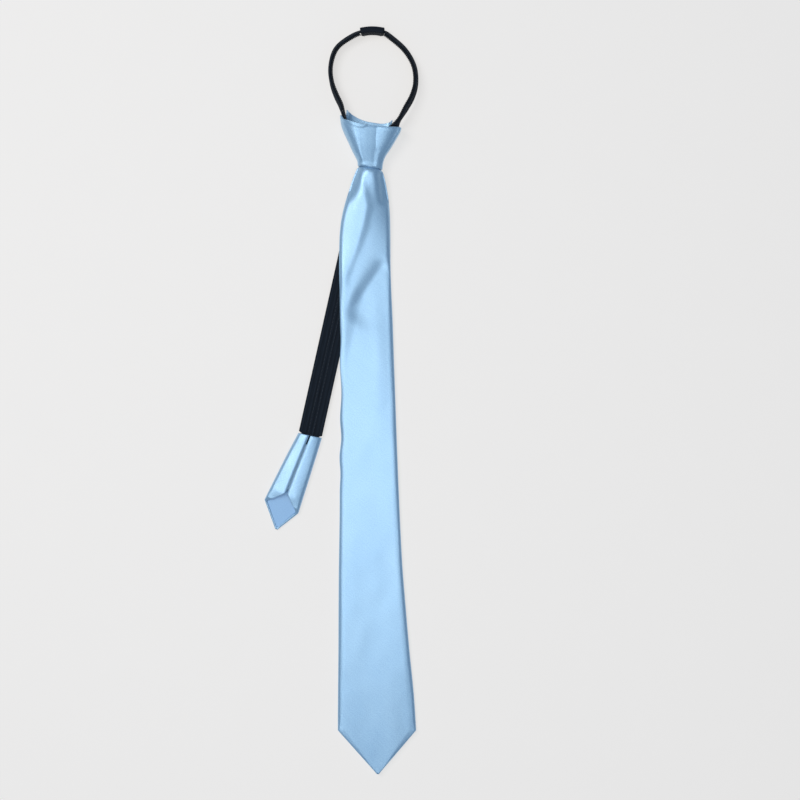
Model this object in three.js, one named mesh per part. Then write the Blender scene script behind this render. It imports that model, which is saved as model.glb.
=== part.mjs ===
// A ready-tied satin tie with a zip for its neck band, lying flat and face up.
// Millimetres. +X is to the right seen from above, +Y points to the neck loop, +Z is up from what it lies on.
// The pieces are drawn from the throat, the narrow foot of the knot, and moved together at the end.
import * as THREE from 'three';

// Cloth and clearances
const cloth = 1.0; // satin with its backing
const hollow = 1.6; // room inside a folded blade
const clearance = 0.3; // between pieces that touch
const seamGap = 0.8; // between the two flaps on a blade's back
const hem = 2.4; // turned edge round the lining of a point
const tipHalf = 0.9; // half the width of a point's blunt end
const liningTip = 1.4; // the lining ends where the point's half is narrower than this

// Front blade
const bladeLength = 360; // throat to the corners of the point
const bladeWidth = 50; // across those corners
const pointLength = 28.7;
const bladeTuck = 7; // hidden in the knot
const tuckWidth = 12.6;
const flapSpread = 20; // from the corners up to where the flaps part
const crownHeight = 3.2; // how far the blade puffs up below the knot
const drapeShoulder = 1.5; // it stays up this far past the tail's edge
const drapeRun = 11; // how far the blade takes to come down beside the tail

// Knot
const throatX = 0.8; // the knot and the zip lie this far to the right of the tip's line
const knotFoot = -1.5; // its lower edge, seen from the throat
const knotLength = 27.9;
const knotWidth = 39.6;
const knotHeight = 16.5;
const knotWall = 1.0;
const knotTilt = THREE.MathUtils.degToRad(-8.5); // the knot's edges run down to the right
const knotSquareness = 3.2; // 2 is a round mouth, more is a squarer one
const mouthDip = 2.2; // the front edge sags between its corners
const backPeak = 7.2; // the back panel's left corner above the mouth
const backHalf = 13.6;
const backSide = 5.6; // height of its turned-up sides
const backTuck = 4.4; // how far it reaches into the knot
const backDrift = -0.1; // its middle lies to the right

// Zip tape
const tapeHalf = 7.5; // width of one half
const tapeCloth = 1.0;
const chainGap = 0.3; // between the two halves
const throatPinch = 1.9; // each half is squeezed by this much in the throat
const coilHeight = 1.2;
const coilWidth = 4.0; // across both rows of teeth
const coilPitch = 1.8;
const coilRelief = 0.45; // depth between teeth
const coilStop = 0.6; // the teeth end this far from a cover

// Neck loop
const loopRadius = 27.5;
const loopX = 2.2; // its middle, to the right of the throat
const loopY = 58.9; // and above it
const tabLength = 14.6;
const tabWall = 1.0;
const tabPlay = 0.25; // round the tape in it
const entryHeight = 3.9; // lower edge of the tapes where they enter the knot

// Slider
const sliderFoot = 7.6; // above the throat
const sliderLength = 9;
const sliderWidth = 8.6;
const sliderHeight = 3.4;

// Tail
const tailLength = 176; // throat to the satin end, along the tape
const tailLean = THREE.MathUtils.degToRad(12.6); // the tape from straight down, to the left
const tailBend = 3; // half the stretch in which it turns
const tailTuck = 6; // of the tape inside the satin end
const tailTuckHalf = 5.3; // width of a tape half there
const tailTaper = 1.3; // the tape narrows and sinks in this length before it goes in
const tailBladeLength = 49; // to the corners of its point
const tailBladeWidth = 23.4;
const tailTopWidth = 15.4;
const tailPoint = 15.8;
const tailSpread = 9.5;
const tailBladeLean = THREE.MathUtils.degToRad(22);
const tailTipShift = 2.6; // its tip lies to the right of its middle line
const tapeFall = 18; // the tape comes down to the rest in this length

// Front blade, at: share of bladeLength, width and drift: of bladeWidth, crown: of crownHeight,
// ridge: where the crown is highest, from -1 at the left edge to 1 at the right
const bladeRows = [
  { at: 0.0045, width: 0.25, drift: 0.016, crown: 0.4, ridge: 0 },
  { at: 0.0072, width: 0.31, drift: 0.016, crown: 0.55, ridge: 0 },
  { at: 0.01, width: 0.336, drift: 0.015, crown: 0.7, ridge: 0.02 },
  { at: 0.015, width: 0.362, drift: 0.012, crown: 0.88, ridge: 0.04 },
  { at: 0.026, width: 0.416, drift: 0.006, crown: 1, ridge: 0.02 },
  { at: 0.04, width: 0.47, drift: -0.003, crown: 0.98, ridge: -0.08 },
  { at: 0.054, width: 0.522, drift: -0.013, crown: 0.88, ridge: -0.16 },
  { at: 0.069, width: 0.568, drift: -0.024, crown: 0.72, ridge: -0.24 },
  { at: 0.085, width: 0.605, drift: -0.034, crown: 0.56, ridge: -0.3 },
  { at: 0.103, width: 0.632, drift: -0.043, crown: 0.42, ridge: -0.3 },
  { at: 0.13, width: 0.65, drift: -0.05, crown: 0.28, ridge: -0.2 },
  { at: 0.175, width: 0.656, drift: -0.052, crown: 0.14, ridge: 0 },
  { at: 0.22, width: 0.66, drift: -0.044, crown: 0.05, ridge: 0 },
  { at: 0.275, width: 0.672, drift: -0.032, crown: 0, ridge: 0 },
  { at: 0.34, width: 0.682, drift: -0.022, crown: 0, ridge: 0 },
  { at: 0.405, width: 0.696, drift: -0.012, crown: 0, ridge: 0 },
  { at: 0.47, width: 0.714, drift: -0.005, crown: 0, ridge: 0 },
  { at: 0.54, width: 0.742, drift: 0, crown: 0, ridge: 0 },
  { at: 0.62, width: 0.77, drift: 0.01, crown: 0, ridge: 0 },
  { at: 0.7, width: 0.808, drift: 0.02, crown: 0, ridge: 0 },
  { at: 0.78, width: 0.858, drift: 0.04, crown: 0, ridge: 0 },
  { at: 0.86, width: 0.91, drift: 0.064, crown: 0, ridge: 0 },
  { at: 0.94, width: 0.972, drift: 0.09, crown: 0, ridge: 0 },
  { at: 0.99, width: 0.997, drift: 0.101, crown: 0, ridge: 0 },
  { at: 1, width: 1, drift: 0.103, crown: 0, ridge: 0 },
];
const tipDrift = 0.115;
const pointShares = [0.02, 0.3, 0.65, 0.92, 0.965];

// Knot, at: share of knotLength from the throat, width: of knotWidth, height: of knotHeight, drift: of knotWidth
const knotRows = [
  { at: 0, width: 0.4, height: 0.625, drift: 0 },
  { at: 0.1, width: 0.41, height: 0.645, drift: 0 },
  { at: 0.2, width: 0.46, height: 0.69, drift: -0.01 },
  { at: 0.31, width: 0.534, height: 0.74, drift: -0.018 },
  { at: 0.52, width: 0.7, height: 0.83, drift: -0.01 },
  { at: 0.73, width: 0.858, height: 0.91, drift: -0.006 },
  { at: 0.9, width: 0.965, height: 0.97, drift: 0.006 },
  { at: 1, width: 1, height: 1, drift: 0.012 },
];
const knotSides = 28;
const tapeSteps = 54; // sections of each half in the neck loop

// Back panel of the knot, across: share of backHalf, up: of backSide, peak: of backPeak
const backColumns = [
  { across: -1, up: 1, peak: 1 },
  { across: -0.99, up: 0.5, peak: 0.94 },
  { across: -0.93, up: 0.14, peak: 0.83 },
  { across: -0.78, up: 0, peak: 0.66 },
  { across: -0.4, up: 0, peak: 0.37 },
  { across: 0, up: 0, peak: 0.26 },
  { across: 0.4, up: 0, peak: 0.26 },
  { across: 0.78, up: 0, peak: 0.4 },
  { across: 0.93, up: 0.14, peak: 0.54 },
  { across: 0.99, up: 0.5, peak: 0.64 },
  { across: 1, up: 1, peak: 0.7 },
];
// reach: 0 at the tucked edge, 1 at the top edge, spread: share of backHalf, raise: how far the sides stand up
const backRows = [
  { reach: 0, spread: 0.88, raise: 0 },
  { reach: 0.3, spread: 0.98, raise: 0.1 },
  { reach: 0.62, spread: 1.05, raise: 0.8 },
  { reach: 1, spread: 1.08, raise: 1 },
];

// Each side of the neck loop, turn: degrees from the top, reach: share of loopRadius, lift: of entryHeight
const loopRows = {
  left: [
    { turn: 30, reach: 1.005, lift: 0.1 },
    { turn: 55, reach: 1.04, lift: 0.06 },
    { turn: 80, reach: 1.005, lift: 0.12 },
    { turn: 103, reach: 0.985, lift: 0.34 },
    { turn: 122, reach: 1.005, lift: 0.62 },
    { turn: 136, reach: 1.07, lift: 0.85 },
  ],
  right: [
    { turn: 30, reach: 0.955, lift: 0.1 },
    { turn: 55, reach: 0.955, lift: 0.06 },
    { turn: 80, reach: 1.005, lift: 0.12 },
    { turn: 103, reach: 1.055, lift: 0.34 },
    { turn: 120, reach: 1.095, lift: 0.62 },
    { turn: 136, reach: 1.15, lift: 0.85 },
  ],
};
// Inside the knot, out: share of the half width of the knot's mouth, on: share of the way from slider to mouth
const entryRows = {
  left: [
    { out: 0.87, on: 1, lift: 1.1 },
    { out: 0.8, on: 0.66, lift: 1.12 },
    { out: 0.56, on: 0.3, lift: 0.7 },
  ],
  right: [
    { out: 0.8, on: 1, lift: 1.05 },
    { out: 0.7, on: 0.66, lift: 1.02 },
    { out: 0.5, on: 0.3, lift: 0.85 },
  ],
};
const twistLength = { left: 17, right: 22 }; // the tape turns from standing to lying in this length
const twistRest = 2; // and lies for this length before the slider

// Worked out from the above
const bladeThick = 2 * cloth + hollow;
const tapeWidth = 2 * tapeHalf + chainGap;
const tapeOnRest = coilHeight + clearance;
const throatRise = knotWall + clearance; // what the knot's lower wall adds under the tape
const standHeight = tapeHalf / 2;

const { clamp, lerp, smoothstep, degToRad } = THREE.MathUtils;

function finish(colour, roughness, metalness = 0) {
  return new THREE.MeshStandardMaterial({ color: new THREE.Color(...colour), roughness, metalness });
}

// Cloth has two faces: rows of pairs, a pair being one point on each face. A round one joins its last column
// to its first, as a sleeve does. The faces are turned outwards whichever way the pairs were given.
function clothMesh(name, material, rows, round = false) {
  const across = rows[0].length;
  const layer = rows.length * across;
  const end = rows.length - 1;
  const positions = [];
  for (const side of ['face', 'back']) {
    for (const row of rows) {
      for (const pair of row) positions.push(...pair[side].toArray());
    }
  }
  const index = [];
  const quad = (a, b, c, d) => index.push(a, b, c, a, c, d);
  const at = (i, j) => i * across + (j % across);
  const columns = round ? across : across - 1;
  for (let j = 0; j < columns; j++) {
    for (let i = 0; i < end; i++) {
      quad(at(i, j), at(i, j + 1), at(i + 1, j + 1), at(i + 1, j));
      quad(layer + at(i, j), layer + at(i + 1, j), layer + at(i + 1, j + 1), layer + at(i, j + 1));
    }
    quad(at(0, j + 1), at(0, j), layer + at(0, j), layer + at(0, j + 1));
    quad(at(end, j), at(end, j + 1), layer + at(end, j + 1), layer + at(end, j));
  }
  if (!round) {
    const far = across - 1;
    for (let i = 0; i < end; i++) {
      quad(at(i, 0), at(i + 1, 0), layer + at(i + 1, 0), layer + at(i, 0));
      quad(at(i + 1, far), at(i, far), layer + at(i, far), layer + at(i + 1, far));
    }
  }
  if (signedVolume(positions, index) < 0) index.reverse();
  const geometry = new THREE.BufferGeometry();
  geometry.setAttribute('position', new THREE.Float32BufferAttribute(positions, 3));
  geometry.setIndex(index);
  geometry.computeVertexNormals();
  const mesh = new THREE.Mesh(geometry, material);
  mesh.name = name;
  return mesh;
}

function signedVolume(positions, index) {
  const corner = (k) => new THREE.Vector3().fromArray(positions, 3 * index[k]);
  let sum = 0;
  for (let k = 0; k < index.length; k += 3) sum += corner(k).dot(corner(k + 1).cross(corner(k + 2)));
  return sum / 6;
}

// Section of a folded blade, flaps below: pairs from the seam round the left fold, over the front, to the seam.
// x is across, v is up from the flaps' lower face.
function foldedSection(half, opening) {
  const middle = bladeThick / 2;
  const foldOut = Math.min(middle, half * 0.5);
  const wall = Math.min(cloth, half * 0.35);
  const foldIn = Math.min(hollow / 2, (half - wall) * 0.4);
  const edge = half - foldOut;
  const innerEdge = half - wall - foldIn;
  const flapEnd = Math.min(edge, innerEdge);
  const slot = Math.min(opening, flapEnd * 0.9);
  const side = [];
  for (const share of [0, 0.5]) {
    const x = lerp(slot, flapEnd, share);
    side.push({ face: [x, 0], back: [x, cloth] });
  }
  const foldSteps = 4;
  for (let k = 0; k <= foldSteps; k++) {
    const turn = Math.PI * (k / foldSteps - 0.5);
    side.push({
      face: [edge + foldOut * Math.cos(turn), middle * (1 + Math.sin(turn))],
      back: [innerEdge + foldIn * Math.cos(turn), middle + (hollow / 2) * Math.sin(turn)],
    });
  }
  for (const share of [0.66, 0.33]) {
    side.push({ face: [edge * share, bladeThick], back: [innerEdge * share, bladeThick - cloth] });
  }
  const mirrored = side.map(({ face, back }) => ({ face: [-face[0], face[1]], back: [-back[0], back[1]] }));
  const centre = { face: [0, bladeThick], back: [0, bladeThick - cloth] };
  return [...mirrored, centre, ...side.reverse()];
}

// How far the flaps stand apart, from the seam down to the point's corners
function flapOpening(distance, cornerDistance, spread, half, cornerHalf) {
  const open = clamp((distance - cornerDistance + spread) / spread, 0, 1);
  const wide = Math.min(half, cornerHalf) - hem;
  return Math.max(seamGap / 2, lerp(seamGap / 2, wide, open));
}

const pair = (place, { face, back }) => ({ face: place(...face), back: place(...back) });

// The tail tape's middle line and heights
function tapeX(y) {
  const lean = Math.tan(tailLean);
  if (y > tailBend) return throatX;
  if (y < -tailBend) return throatX + lean * y;
  return throatX - (lean * (tailBend - y) ** 2) / (4 * tailBend);
}
const throatShare = (y) => smoothstep(y, -tapeFall, -tailBend);
const tapeUnderside = (y) => tapeOnRest + throatRise * throatShare(y);

// The front blade lies over the tail and comes down to the rest beside it
function bladeUnderside(x, y) {
  const tapeEdge = tapeX(y) + tapeWidth / 2 / Math.cos(tailLean) + drapeShoulder;
  const beside = 1 - smoothstep(x - tapeEdge, 0, drapeRun);
  const share = 1 - (1 - beside) * (1 - throatShare(y));
  return share * (tapeUnderside(y) + tapeCloth + clearance);
}

// Front blade
function bladeStations() {
  const tuck = { ...bladeRows[0], at: -bladeTuck / bladeLength, width: tuckWidth / bladeWidth };
  const stations = [tuck, ...bladeRows].map((row) => ({
    distance: row.at * bladeLength,
    half: (row.width * bladeWidth) / 2,
    drift: row.drift * bladeWidth,
    crown: row.crown * crownHeight,
    ridge: row.ridge,
  }));
  const corner = stations.at(-1);
  for (const share of pointShares) {
    stations.push({
      distance: bladeLength + pointLength * share,
      half: Math.max(corner.half * (1 - share), tipHalf),
      drift: lerp(corner.drift, tipDrift * bladeWidth, share),
      crown: 0,
      ridge: 0,
    });
  }
  return stations;
}

function placeOnBlade({ distance, half, drift, crown, ridge }) {
  const tilt = Math.tan(knotTilt) * (1 - smoothstep(distance, 0, knotLength));
  return (x, v) => {
    const y = -distance + x * tilt;
    const across = clamp((x / half - ridge) / (x / half > ridge ? 1 - ridge : 1 + ridge), -1, 1);
    const z = bladeUnderside(x + drift, y) + crown * (1 - across ** 2) + v;
    return new THREE.Vector3(x + drift, y, z);
  };
}

function frontBlade(material) {
  const rows = bladeStations().map((station) => {
    const { distance, half } = station;
    const opening = flapOpening(distance, bladeLength, flapSpread, half, bladeWidth / 2);
    const place = placeOnBlade(station);
    return foldedSection(half, opening).map((point) => pair(place, point));
  });
  return clothMesh('front_blade', material, rows);
}

// Lining of a point, lying between the flaps and the front
function liningRow(half, place) {
  const reach = half - Math.min(cloth, half * 0.35) - 2 * clearance;
  return [-1, 0, 1].map((share) => pair(place, {
    face: [reach * share, cloth + clearance],
    back: [reach * share, bladeThick - cloth - clearance],
  }));
}

function frontTipping(material) {
  const first = bladeLength - flapSpread - 2 * hem;
  const rows = bladeStations()
    .filter(({ distance, half }) => distance > first && half > liningTip)
    .map((station) => liningRow(station.half, placeOnBlade(station)));
  return clothMesh('front_tipping', material, rows);
}

// Knot
function knotRing({ at, width, height, drift }, inset) {
  const half = (width * knotWidth) / 2;
  const middle = (height * knotHeight) / 2;
  return Array.from({ length: knotSides }, (_, k) => {
    const turn = (2 * Math.PI * k) / knotSides;
    const power = 2 / knotSquareness;
    const x = Math.sign(Math.cos(turn)) * Math.abs(Math.cos(turn)) ** power;
    const z = Math.sign(Math.sin(turn)) * Math.abs(Math.sin(turn)) ** power;
    const sag = z > 0 ? mouthDip * at ** 3 * (1 - x * x) : 0;
    return placeInKnot(drift * knotWidth + x * (half - inset), at * knotLength - sag, middle + z * (middle - inset));
  });
}

function placeInKnot(x, along, z) {
  return new THREE.Vector3(throatX + x * Math.cos(knotTilt), knotFoot + along + x * Math.sin(knotTilt), z);
}

function knotWrap(material) {
  const rows = knotRows.map((row) => {
    const outer = knotRing(row, 0);
    const inner = knotRing(row, knotWall);
    return outer.map((face, k) => ({ face, back: inner[k] }));
  });
  return clothMesh('knot_wrap', material, rows, true);
}

// Height of the knot's lower wall, inside, at a place across and along it
function knotFloor(x, along) {
  const share = clamp(along / knotLength, 0, 1);
  const above = knotRows.findIndex(({ at }) => at >= share && at > 0);
  const [low, high] = [knotRows[above - 1], knotRows[above]];
  const part = (share - low.at) / (high.at - low.at);
  const half = (lerp(low.width, high.width, part) * knotWidth) / 2 - knotWall;
  const middle = (lerp(low.height, high.height, part) * knotHeight) / 2;
  const out = clamp(Math.abs(x - lerp(low.drift, high.drift, part) * knotWidth) / half, 0, 1);
  return middle - (middle - knotWall) * (1 - out ** knotSquareness) ** (1 / knotSquareness);
}

function knotBack(material) {
  const rows = backRows.map(({ reach, spread, raise }) => {
    const line = backColumns.map(({ across, up, peak }) => {
      const along = lerp(knotLength - backTuck, knotLength + peak * backPeak, reach);
      const x = backDrift + across * backHalf * spread;
      return { along, x, z: knotFloor(x, along) + 2 * clearance + up * raise * backSide };
    });
    return line.map(({ along, x, z }, k) => {
      const before = line[Math.max(k - 1, 0)];
      const after = line[Math.min(k + 1, line.length - 1)];
      const inward = new THREE.Vector2(before.z - after.z, after.x - before.x).setLength(cloth);
      return { face: placeInKnot(x, along, z), back: placeInKnot(x + inward.x, along, z + inward.y) };
    });
  });
  return clothMesh('knot_back', material, rows);
}

// Neck loop: the tape's middle line from the tab to the slider
const sliderTop = sliderFoot + sliderLength;
const standMiddle = (lift) => standHeight + lift;

function neckPath(side) {
  const sign = side === 'left' ? -1 : 1;
  const tabLift = tabWall + clearance;
  const tabTurn = tabLength / 2 / loopRadius;
  const onLoop = (turn, reach, lift) => new THREE.Vector3(
    loopX + sign * Math.sin(turn) * reach * loopRadius,
    loopY + Math.cos(turn) * reach * loopRadius,
    standMiddle(lift),
  );
  const points = [
    onLoop(clearance / loopRadius, 1, tabLift),
    onLoop(tabTurn, 1, tabLift),
    ...loopRows[side].map(({ turn, reach, lift }) => onLoop(degToRad(turn), reach, lift * entryHeight)),
  ];
  const shoulder = new THREE.Vector3(throatX + sign * (sliderWidth / 2 + clearance), sliderTop + clearance, 0);
  shoulder.z = tapeOnRest + throatRise + tapeCloth / 2;
  const mouthDrift = knotRows.at(-1).drift * knotWidth;
  for (const { out, on, lift } of entryRows[side]) {
    const x = mouthDrift + (sign * out * knotWidth) / 2;
    const mouth = placeInKnot(x, knotLength, 0);
    const z = lerp(shoulder.z, standMiddle(entryHeight), lift);
    points.push(new THREE.Vector3(mouth.x, lerp(sliderTop, mouth.y, on), z));
  }
  points.push(shoulder);
  return new THREE.CatmullRomCurve3(points);
}

// Frames along the neck path: middle, the way to the toothed edge and the way the teeth face
function neckFrames(side, stations, from, to) {
  const path = neckPath(side);
  const length = path.getLength();
  const sign = side === 'left' ? 1 : -1;
  return Array.from({ length: stations + 1 }, (_, k) => {
    const run = lerp(from, length - to, k / stations);
    const u = run / length;
    const middle = path.getPointAt(u);
    const tangent = path.getTangentAt(u);
    const up = new THREE.Vector3(0, 0, 1).addScaledVector(tangent, -tangent.z).normalize();
    const inward = new THREE.Vector3().crossVectors(up, tangent).multiplyScalar(sign);
    const twist = (Math.PI / 2) * smoothstep(run, length - twistLength[side], length - twistRest);
    const edge = up.clone().multiplyScalar(Math.cos(twist)).addScaledVector(inward, Math.sin(twist));
    const teeth = inward.clone().multiplyScalar(Math.cos(twist)).addScaledVector(up, -Math.sin(twist));
    return { middle, edge, teeth };
  });
}

const offset = ({ middle, edge, teeth }, onEdge, onTeeth) =>
  middle.clone().addScaledVector(edge, onEdge).addScaledVector(teeth, onTeeth);

function neckTape(side, material) {
  const rows = neckFrames(side, tapeSteps, 0, 0).map((frame) => [-1, 0, 1].map((share) => ({
    face: offset(frame, (share * tapeHalf) / 2, tapeCloth / 2),
    back: offset(frame, (share * tapeHalf) / 2, -tapeCloth / 2),
  })));
  return clothMesh(`neck_tape_${side}`, material, rows);
}

function neckCoil(side, material) {
  const start = tabLength / 2 + coilStop;
  const teeth = Math.round((neckPath(side).getLength() - start) / coilPitch);
  const rows = neckFrames(side, 2 * teeth, start, clearance).map((frame, k) => {
    const relief = k % 2 ? coilRelief : 0;
    const near = tapeCloth / 2 + clearance;
    return [tapeHalf / 2 - coilWidth / 2, tapeHalf / 2 - relief].map((onEdge) => ({
      face: offset(frame, onEdge, near + coilHeight - relief),
      back: offset(frame, onEdge, near),
    }));
  });
  return clothMesh(`neck_coil_${side}`, material, rows);
}

function neckTab(material) {
  const inHalf = tapeCloth / 2 + tabPlay;
  const inRise = tapeHalf / 2 + clearance;
  const sleeve = [[1, 1], [0, 1], [-1, 1], [-1, 0], [-1, -1], [0, -1], [1, -1], [1, 0]];
  const middleHeight = tabWall + clearance + standHeight;
  const rows = [-1, -0.5, 0, 0.5, 1].map((share) => {
    const turn = (share * tabLength) / 2 / loopRadius;
    const at = (out, up) => new THREE.Vector3(
      loopX + Math.sin(turn) * (loopRadius + out),
      loopY + Math.cos(turn) * (loopRadius + out),
      middleHeight + up,
    );
    return sleeve.map(([out, up]) => ({
      face: at(out * (inHalf + tabWall), up * (inRise + tabWall)),
      back: at(out * inHalf, up * inRise),
    }));
  });
  return clothMesh('neck_tab', material, rows, true);
}

function zipSlider(material) {
  const half = sliderWidth / 2;
  const foot = half * 0.72;
  const nose = half * 0.45;
  const outline = new THREE.Shape();
  outline.moveTo(-foot, sliderFoot);
  outline.lineTo(foot, sliderFoot);
  outline.lineTo(half, sliderTop - sliderLength / 3);
  outline.lineTo(half, sliderTop - sliderLength / 9);
  outline.lineTo(nose, sliderTop);
  outline.lineTo(-nose, sliderTop);
  outline.lineTo(-half, sliderTop - sliderLength / 9);
  outline.lineTo(-half, sliderTop - sliderLength / 3);
  const geometry = new THREE.ExtrudeGeometry(outline, { depth: sliderHeight, bevelEnabled: false });
  const mesh = new THREE.Mesh(geometry, material);
  mesh.name = 'zip_slider';
  mesh.position.x = throatX;
  mesh.position.z = tapeOnRest + throatRise + tapeCloth / 2 - sliderHeight / 2;
  return mesh;
}

// Tail tape: stations from the slider's foot to inside the satin end
function tailStations(steps, from, to) {
  const top = sliderFoot - clearance;
  const foot = -(tailLength + tailTuck) * Math.cos(tailLean);
  return Array.from({ length: steps + 1 }, (_, k) => {
    const y = lerp(top, foot, lerp(from, to, k / steps));
    const step = 0.5;
    const ahead = new THREE.Vector2(tapeX(y - step) - tapeX(y + step), -2 * step).normalize();
    const distance = -y / Math.cos(tailLean);
    return { y, x: tapeX(y), right: new THREE.Vector2(-ahead.y, ahead.x), distance };
  });
}

function tailTape(side, material) {
  const sign = side === 'left' ? -1 : 1;
  const rows = tailStations(30, 0, 1).map(({ x, y, right, distance }) => {
    const tucked = smoothstep(distance, tailLength - tailTaper, tailLength - clearance);
    const width = lerp(tapeHalf - throatPinch * throatShare(y), tailTuckHalf, tucked);
    const under = tapeUnderside(y) - tucked * (tapeOnRest - cloth - clearance);
    return [chainGap / 2, chainGap / 2 + width].map((out) => {
      const place = (z) => new THREE.Vector3(x + sign * out * right.x, y + sign * out * right.y, z);
      return { face: place(under), back: place(under + tapeCloth) };
    });
  });
  return clothMesh(`tail_tape_${side}`, material, rows);
}

function tailCoil(material) {
  const total = (tailLength + tailTuck) * Math.cos(tailLean) + sliderFoot - clearance;
  const end = (tailLength - tailTaper - coilStop) * Math.cos(tailLean) + sliderFoot - clearance;
  const teeth = Math.round(end / coilPitch);
  const rows = tailStations(2 * teeth, 0, end / total).map(({ x, y, right }, k) => {
    const relief = k % 2 ? coilRelief : 0;
    const bottom = tapeUnderside(y) - tapeOnRest;
    const half = coilWidth / 2 - relief;
    return [-half, half].map((out) => {
      const place = (z) => new THREE.Vector3(x + out * right.x, y + out * right.y, z);
      return { face: place(bottom + relief), back: place(bottom + coilHeight) };
    });
  });
  return clothMesh('tail_coil', material, rows);
}

// Satin end of the tail, seam side up
function tailBladeStations() {
  const start = new THREE.Vector2(-Math.sin(tailLean), -Math.cos(tailLean)).multiplyScalar(tailLength);
  start.x += throatX;
  const along = new THREE.Vector2(-Math.sin(tailBladeLean), -Math.cos(tailBladeLean));
  const right = new THREE.Vector2(-along.y, along.x);
  const stations = [0, 0.15, 0.4, 0.7, 0.86, 0.98, 1].map((share) => {
    const lean = lerp(tailLean, tailBladeLean, smoothstep(share, 0, 0.4));
    return {
      distance: share * tailBladeLength,
      half: lerp(tailTopWidth, tailBladeWidth, share) / 2,
      middle: start.clone().addScaledVector(along, share * tailBladeLength),
      across: new THREE.Vector2(Math.cos(lean), -Math.sin(lean)),
    };
  });
  const corner = stations.at(-1);
  for (const share of [0.04, 0.45, 0.85, 0.93]) {
    stations.push({
      distance: tailBladeLength + share * tailPoint,
      half: Math.max(corner.half * (1 - share), tipHalf),
      middle: corner.middle.clone().addScaledVector(along, share * tailPoint)
        .addScaledVector(right, share * tailTipShift),
      across: corner.across,
    });
  }
  return stations;
}

const placeOnTail = ({ middle, across }) => (x, v) =>
  new THREE.Vector3(middle.x + across.x * x, middle.y + across.y * x, bladeThick - v);

function tailBlade(material) {
  const rows = tailBladeStations().map((station) => {
    const { distance, half } = station;
    const opening = flapOpening(distance, tailBladeLength, tailSpread, half, tailBladeWidth / 2);
    return foldedSection(half, opening).map((point) => pair(placeOnTail(station), point));
  });
  return clothMesh('tail_blade', material, rows);
}

function tailTipping(material) {
  const first = tailBladeLength - tailSpread - 2 * hem;
  const rows = tailBladeStations()
    .filter(({ distance, half }) => distance > first && half > liningTip)
    .map((station) => liningRow(station.half, placeOnTail(station)));
  return clothMesh('tail_tipping', material, rows);
}

const satin = [0.36, 0.61, 0.83];
const lining = [0.3, 0.5, 0.7];
const tape = [0.012, 0.016, 0.024];
const tie = new THREE.Group();
tie.add(knotWrap(finish(satin, 0.32)));
tie.add(knotBack(finish(satin, 0.4)));
tie.add(frontBlade(finish(satin, 0.32)));
tie.add(frontTipping(finish(lining, 0.5)));
for (const side of ['left', 'right']) {
  tie.add(neckTape(side, finish(tape, 0.85)));
  tie.add(neckCoil(side, finish(tape, 0.45)));
  tie.add(tailTape(side, finish(tape, 0.85)));
}
tie.add(neckTab(finish(tape, 0.8)));
tie.add(zipSlider(finish([0.02, 0.02, 0.025], 0.4, 0.2)));
tie.add(tailCoil(finish(tape, 0.45)));
tie.add(tailBlade(finish(satin, 0.32)));
tie.add(tailTipping(finish(lining, 0.5)));

// The origin is at the middle of the tie's box, on what it lies on
const box = new THREE.Box3().setFromObject(tie);
const centre = box.getCenter(new THREE.Vector3());
tie.position.set(-centre.x, -centre.y, -box.min.z);

export default tie;
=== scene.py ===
# %% [markdown]
# # A ready-tied satin tie with a zip for its neck band
#
# The tie lies flat and face up: a loop of zip tape at the top, a hollow satin knot, a folded satin blade,
# and below the knot the closed zip that ends in a short satin end with its seam side up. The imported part
# gives every place and size. The cloth is drawn again here, fine enough to fold and to weave.

# %%
import math

import bmesh
import bpy
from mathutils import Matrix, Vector, noise


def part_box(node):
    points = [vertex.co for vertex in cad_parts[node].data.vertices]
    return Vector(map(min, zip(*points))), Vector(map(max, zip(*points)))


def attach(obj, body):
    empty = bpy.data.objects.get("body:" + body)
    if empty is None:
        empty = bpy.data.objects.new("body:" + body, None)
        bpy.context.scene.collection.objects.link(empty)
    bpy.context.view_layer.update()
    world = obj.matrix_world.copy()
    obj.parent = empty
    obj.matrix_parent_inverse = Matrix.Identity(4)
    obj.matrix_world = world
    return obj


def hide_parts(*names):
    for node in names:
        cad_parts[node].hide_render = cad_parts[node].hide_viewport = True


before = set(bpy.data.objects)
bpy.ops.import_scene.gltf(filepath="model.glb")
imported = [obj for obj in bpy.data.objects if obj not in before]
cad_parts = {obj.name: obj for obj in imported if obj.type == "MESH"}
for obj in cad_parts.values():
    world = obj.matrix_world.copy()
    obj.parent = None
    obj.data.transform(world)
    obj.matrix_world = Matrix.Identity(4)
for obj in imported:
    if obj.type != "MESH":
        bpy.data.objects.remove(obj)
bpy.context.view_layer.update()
print("nodes", sorted(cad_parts))

# %% [markdown]
# ## Sizes
#
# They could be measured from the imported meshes, or repeated. Most are repeated, in millimetres as they are
# in the part, because the cloth follows the same tables; the place of the throat, from which the tie is
# drawn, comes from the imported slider, so that the whole tie follows if the part is moved.

# %%
MM = 0.001
THROAT_X = 0.8
SLIDER_FOOT, SLIDER_LENGTH, SLIDER_WIDTH = 7.6, 9.0, 8.6
CLOTH, HOLLOW, CLEARANCE = 1.0, 1.6, 0.3
BLADE_THICK = 2 * CLOTH + HOLLOW
SATIN_THICK = 0.8
PRESSED = 1.5

slider_low, slider_high = [Vector(corner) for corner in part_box("zip_slider")]
ORIGIN = Vector(((slider_low.x + slider_high.x) / 2 - THROAT_X * MM, slider_low.y - SLIDER_FOOT * MM, 0))
print("throat at", tuple(round(x, 5) for x in ORIGIN))


def in_frame(x, y, z):
    """A point in millimetres from the throat, in the frame's metres."""
    return ORIGIN + Vector((x, y, z)) * MM


def clamp(value, low=0.0, high=1.0):
    return max(low, min(high, value))


def lerp(a, b, share):
    return a + (b - a) * share


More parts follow.
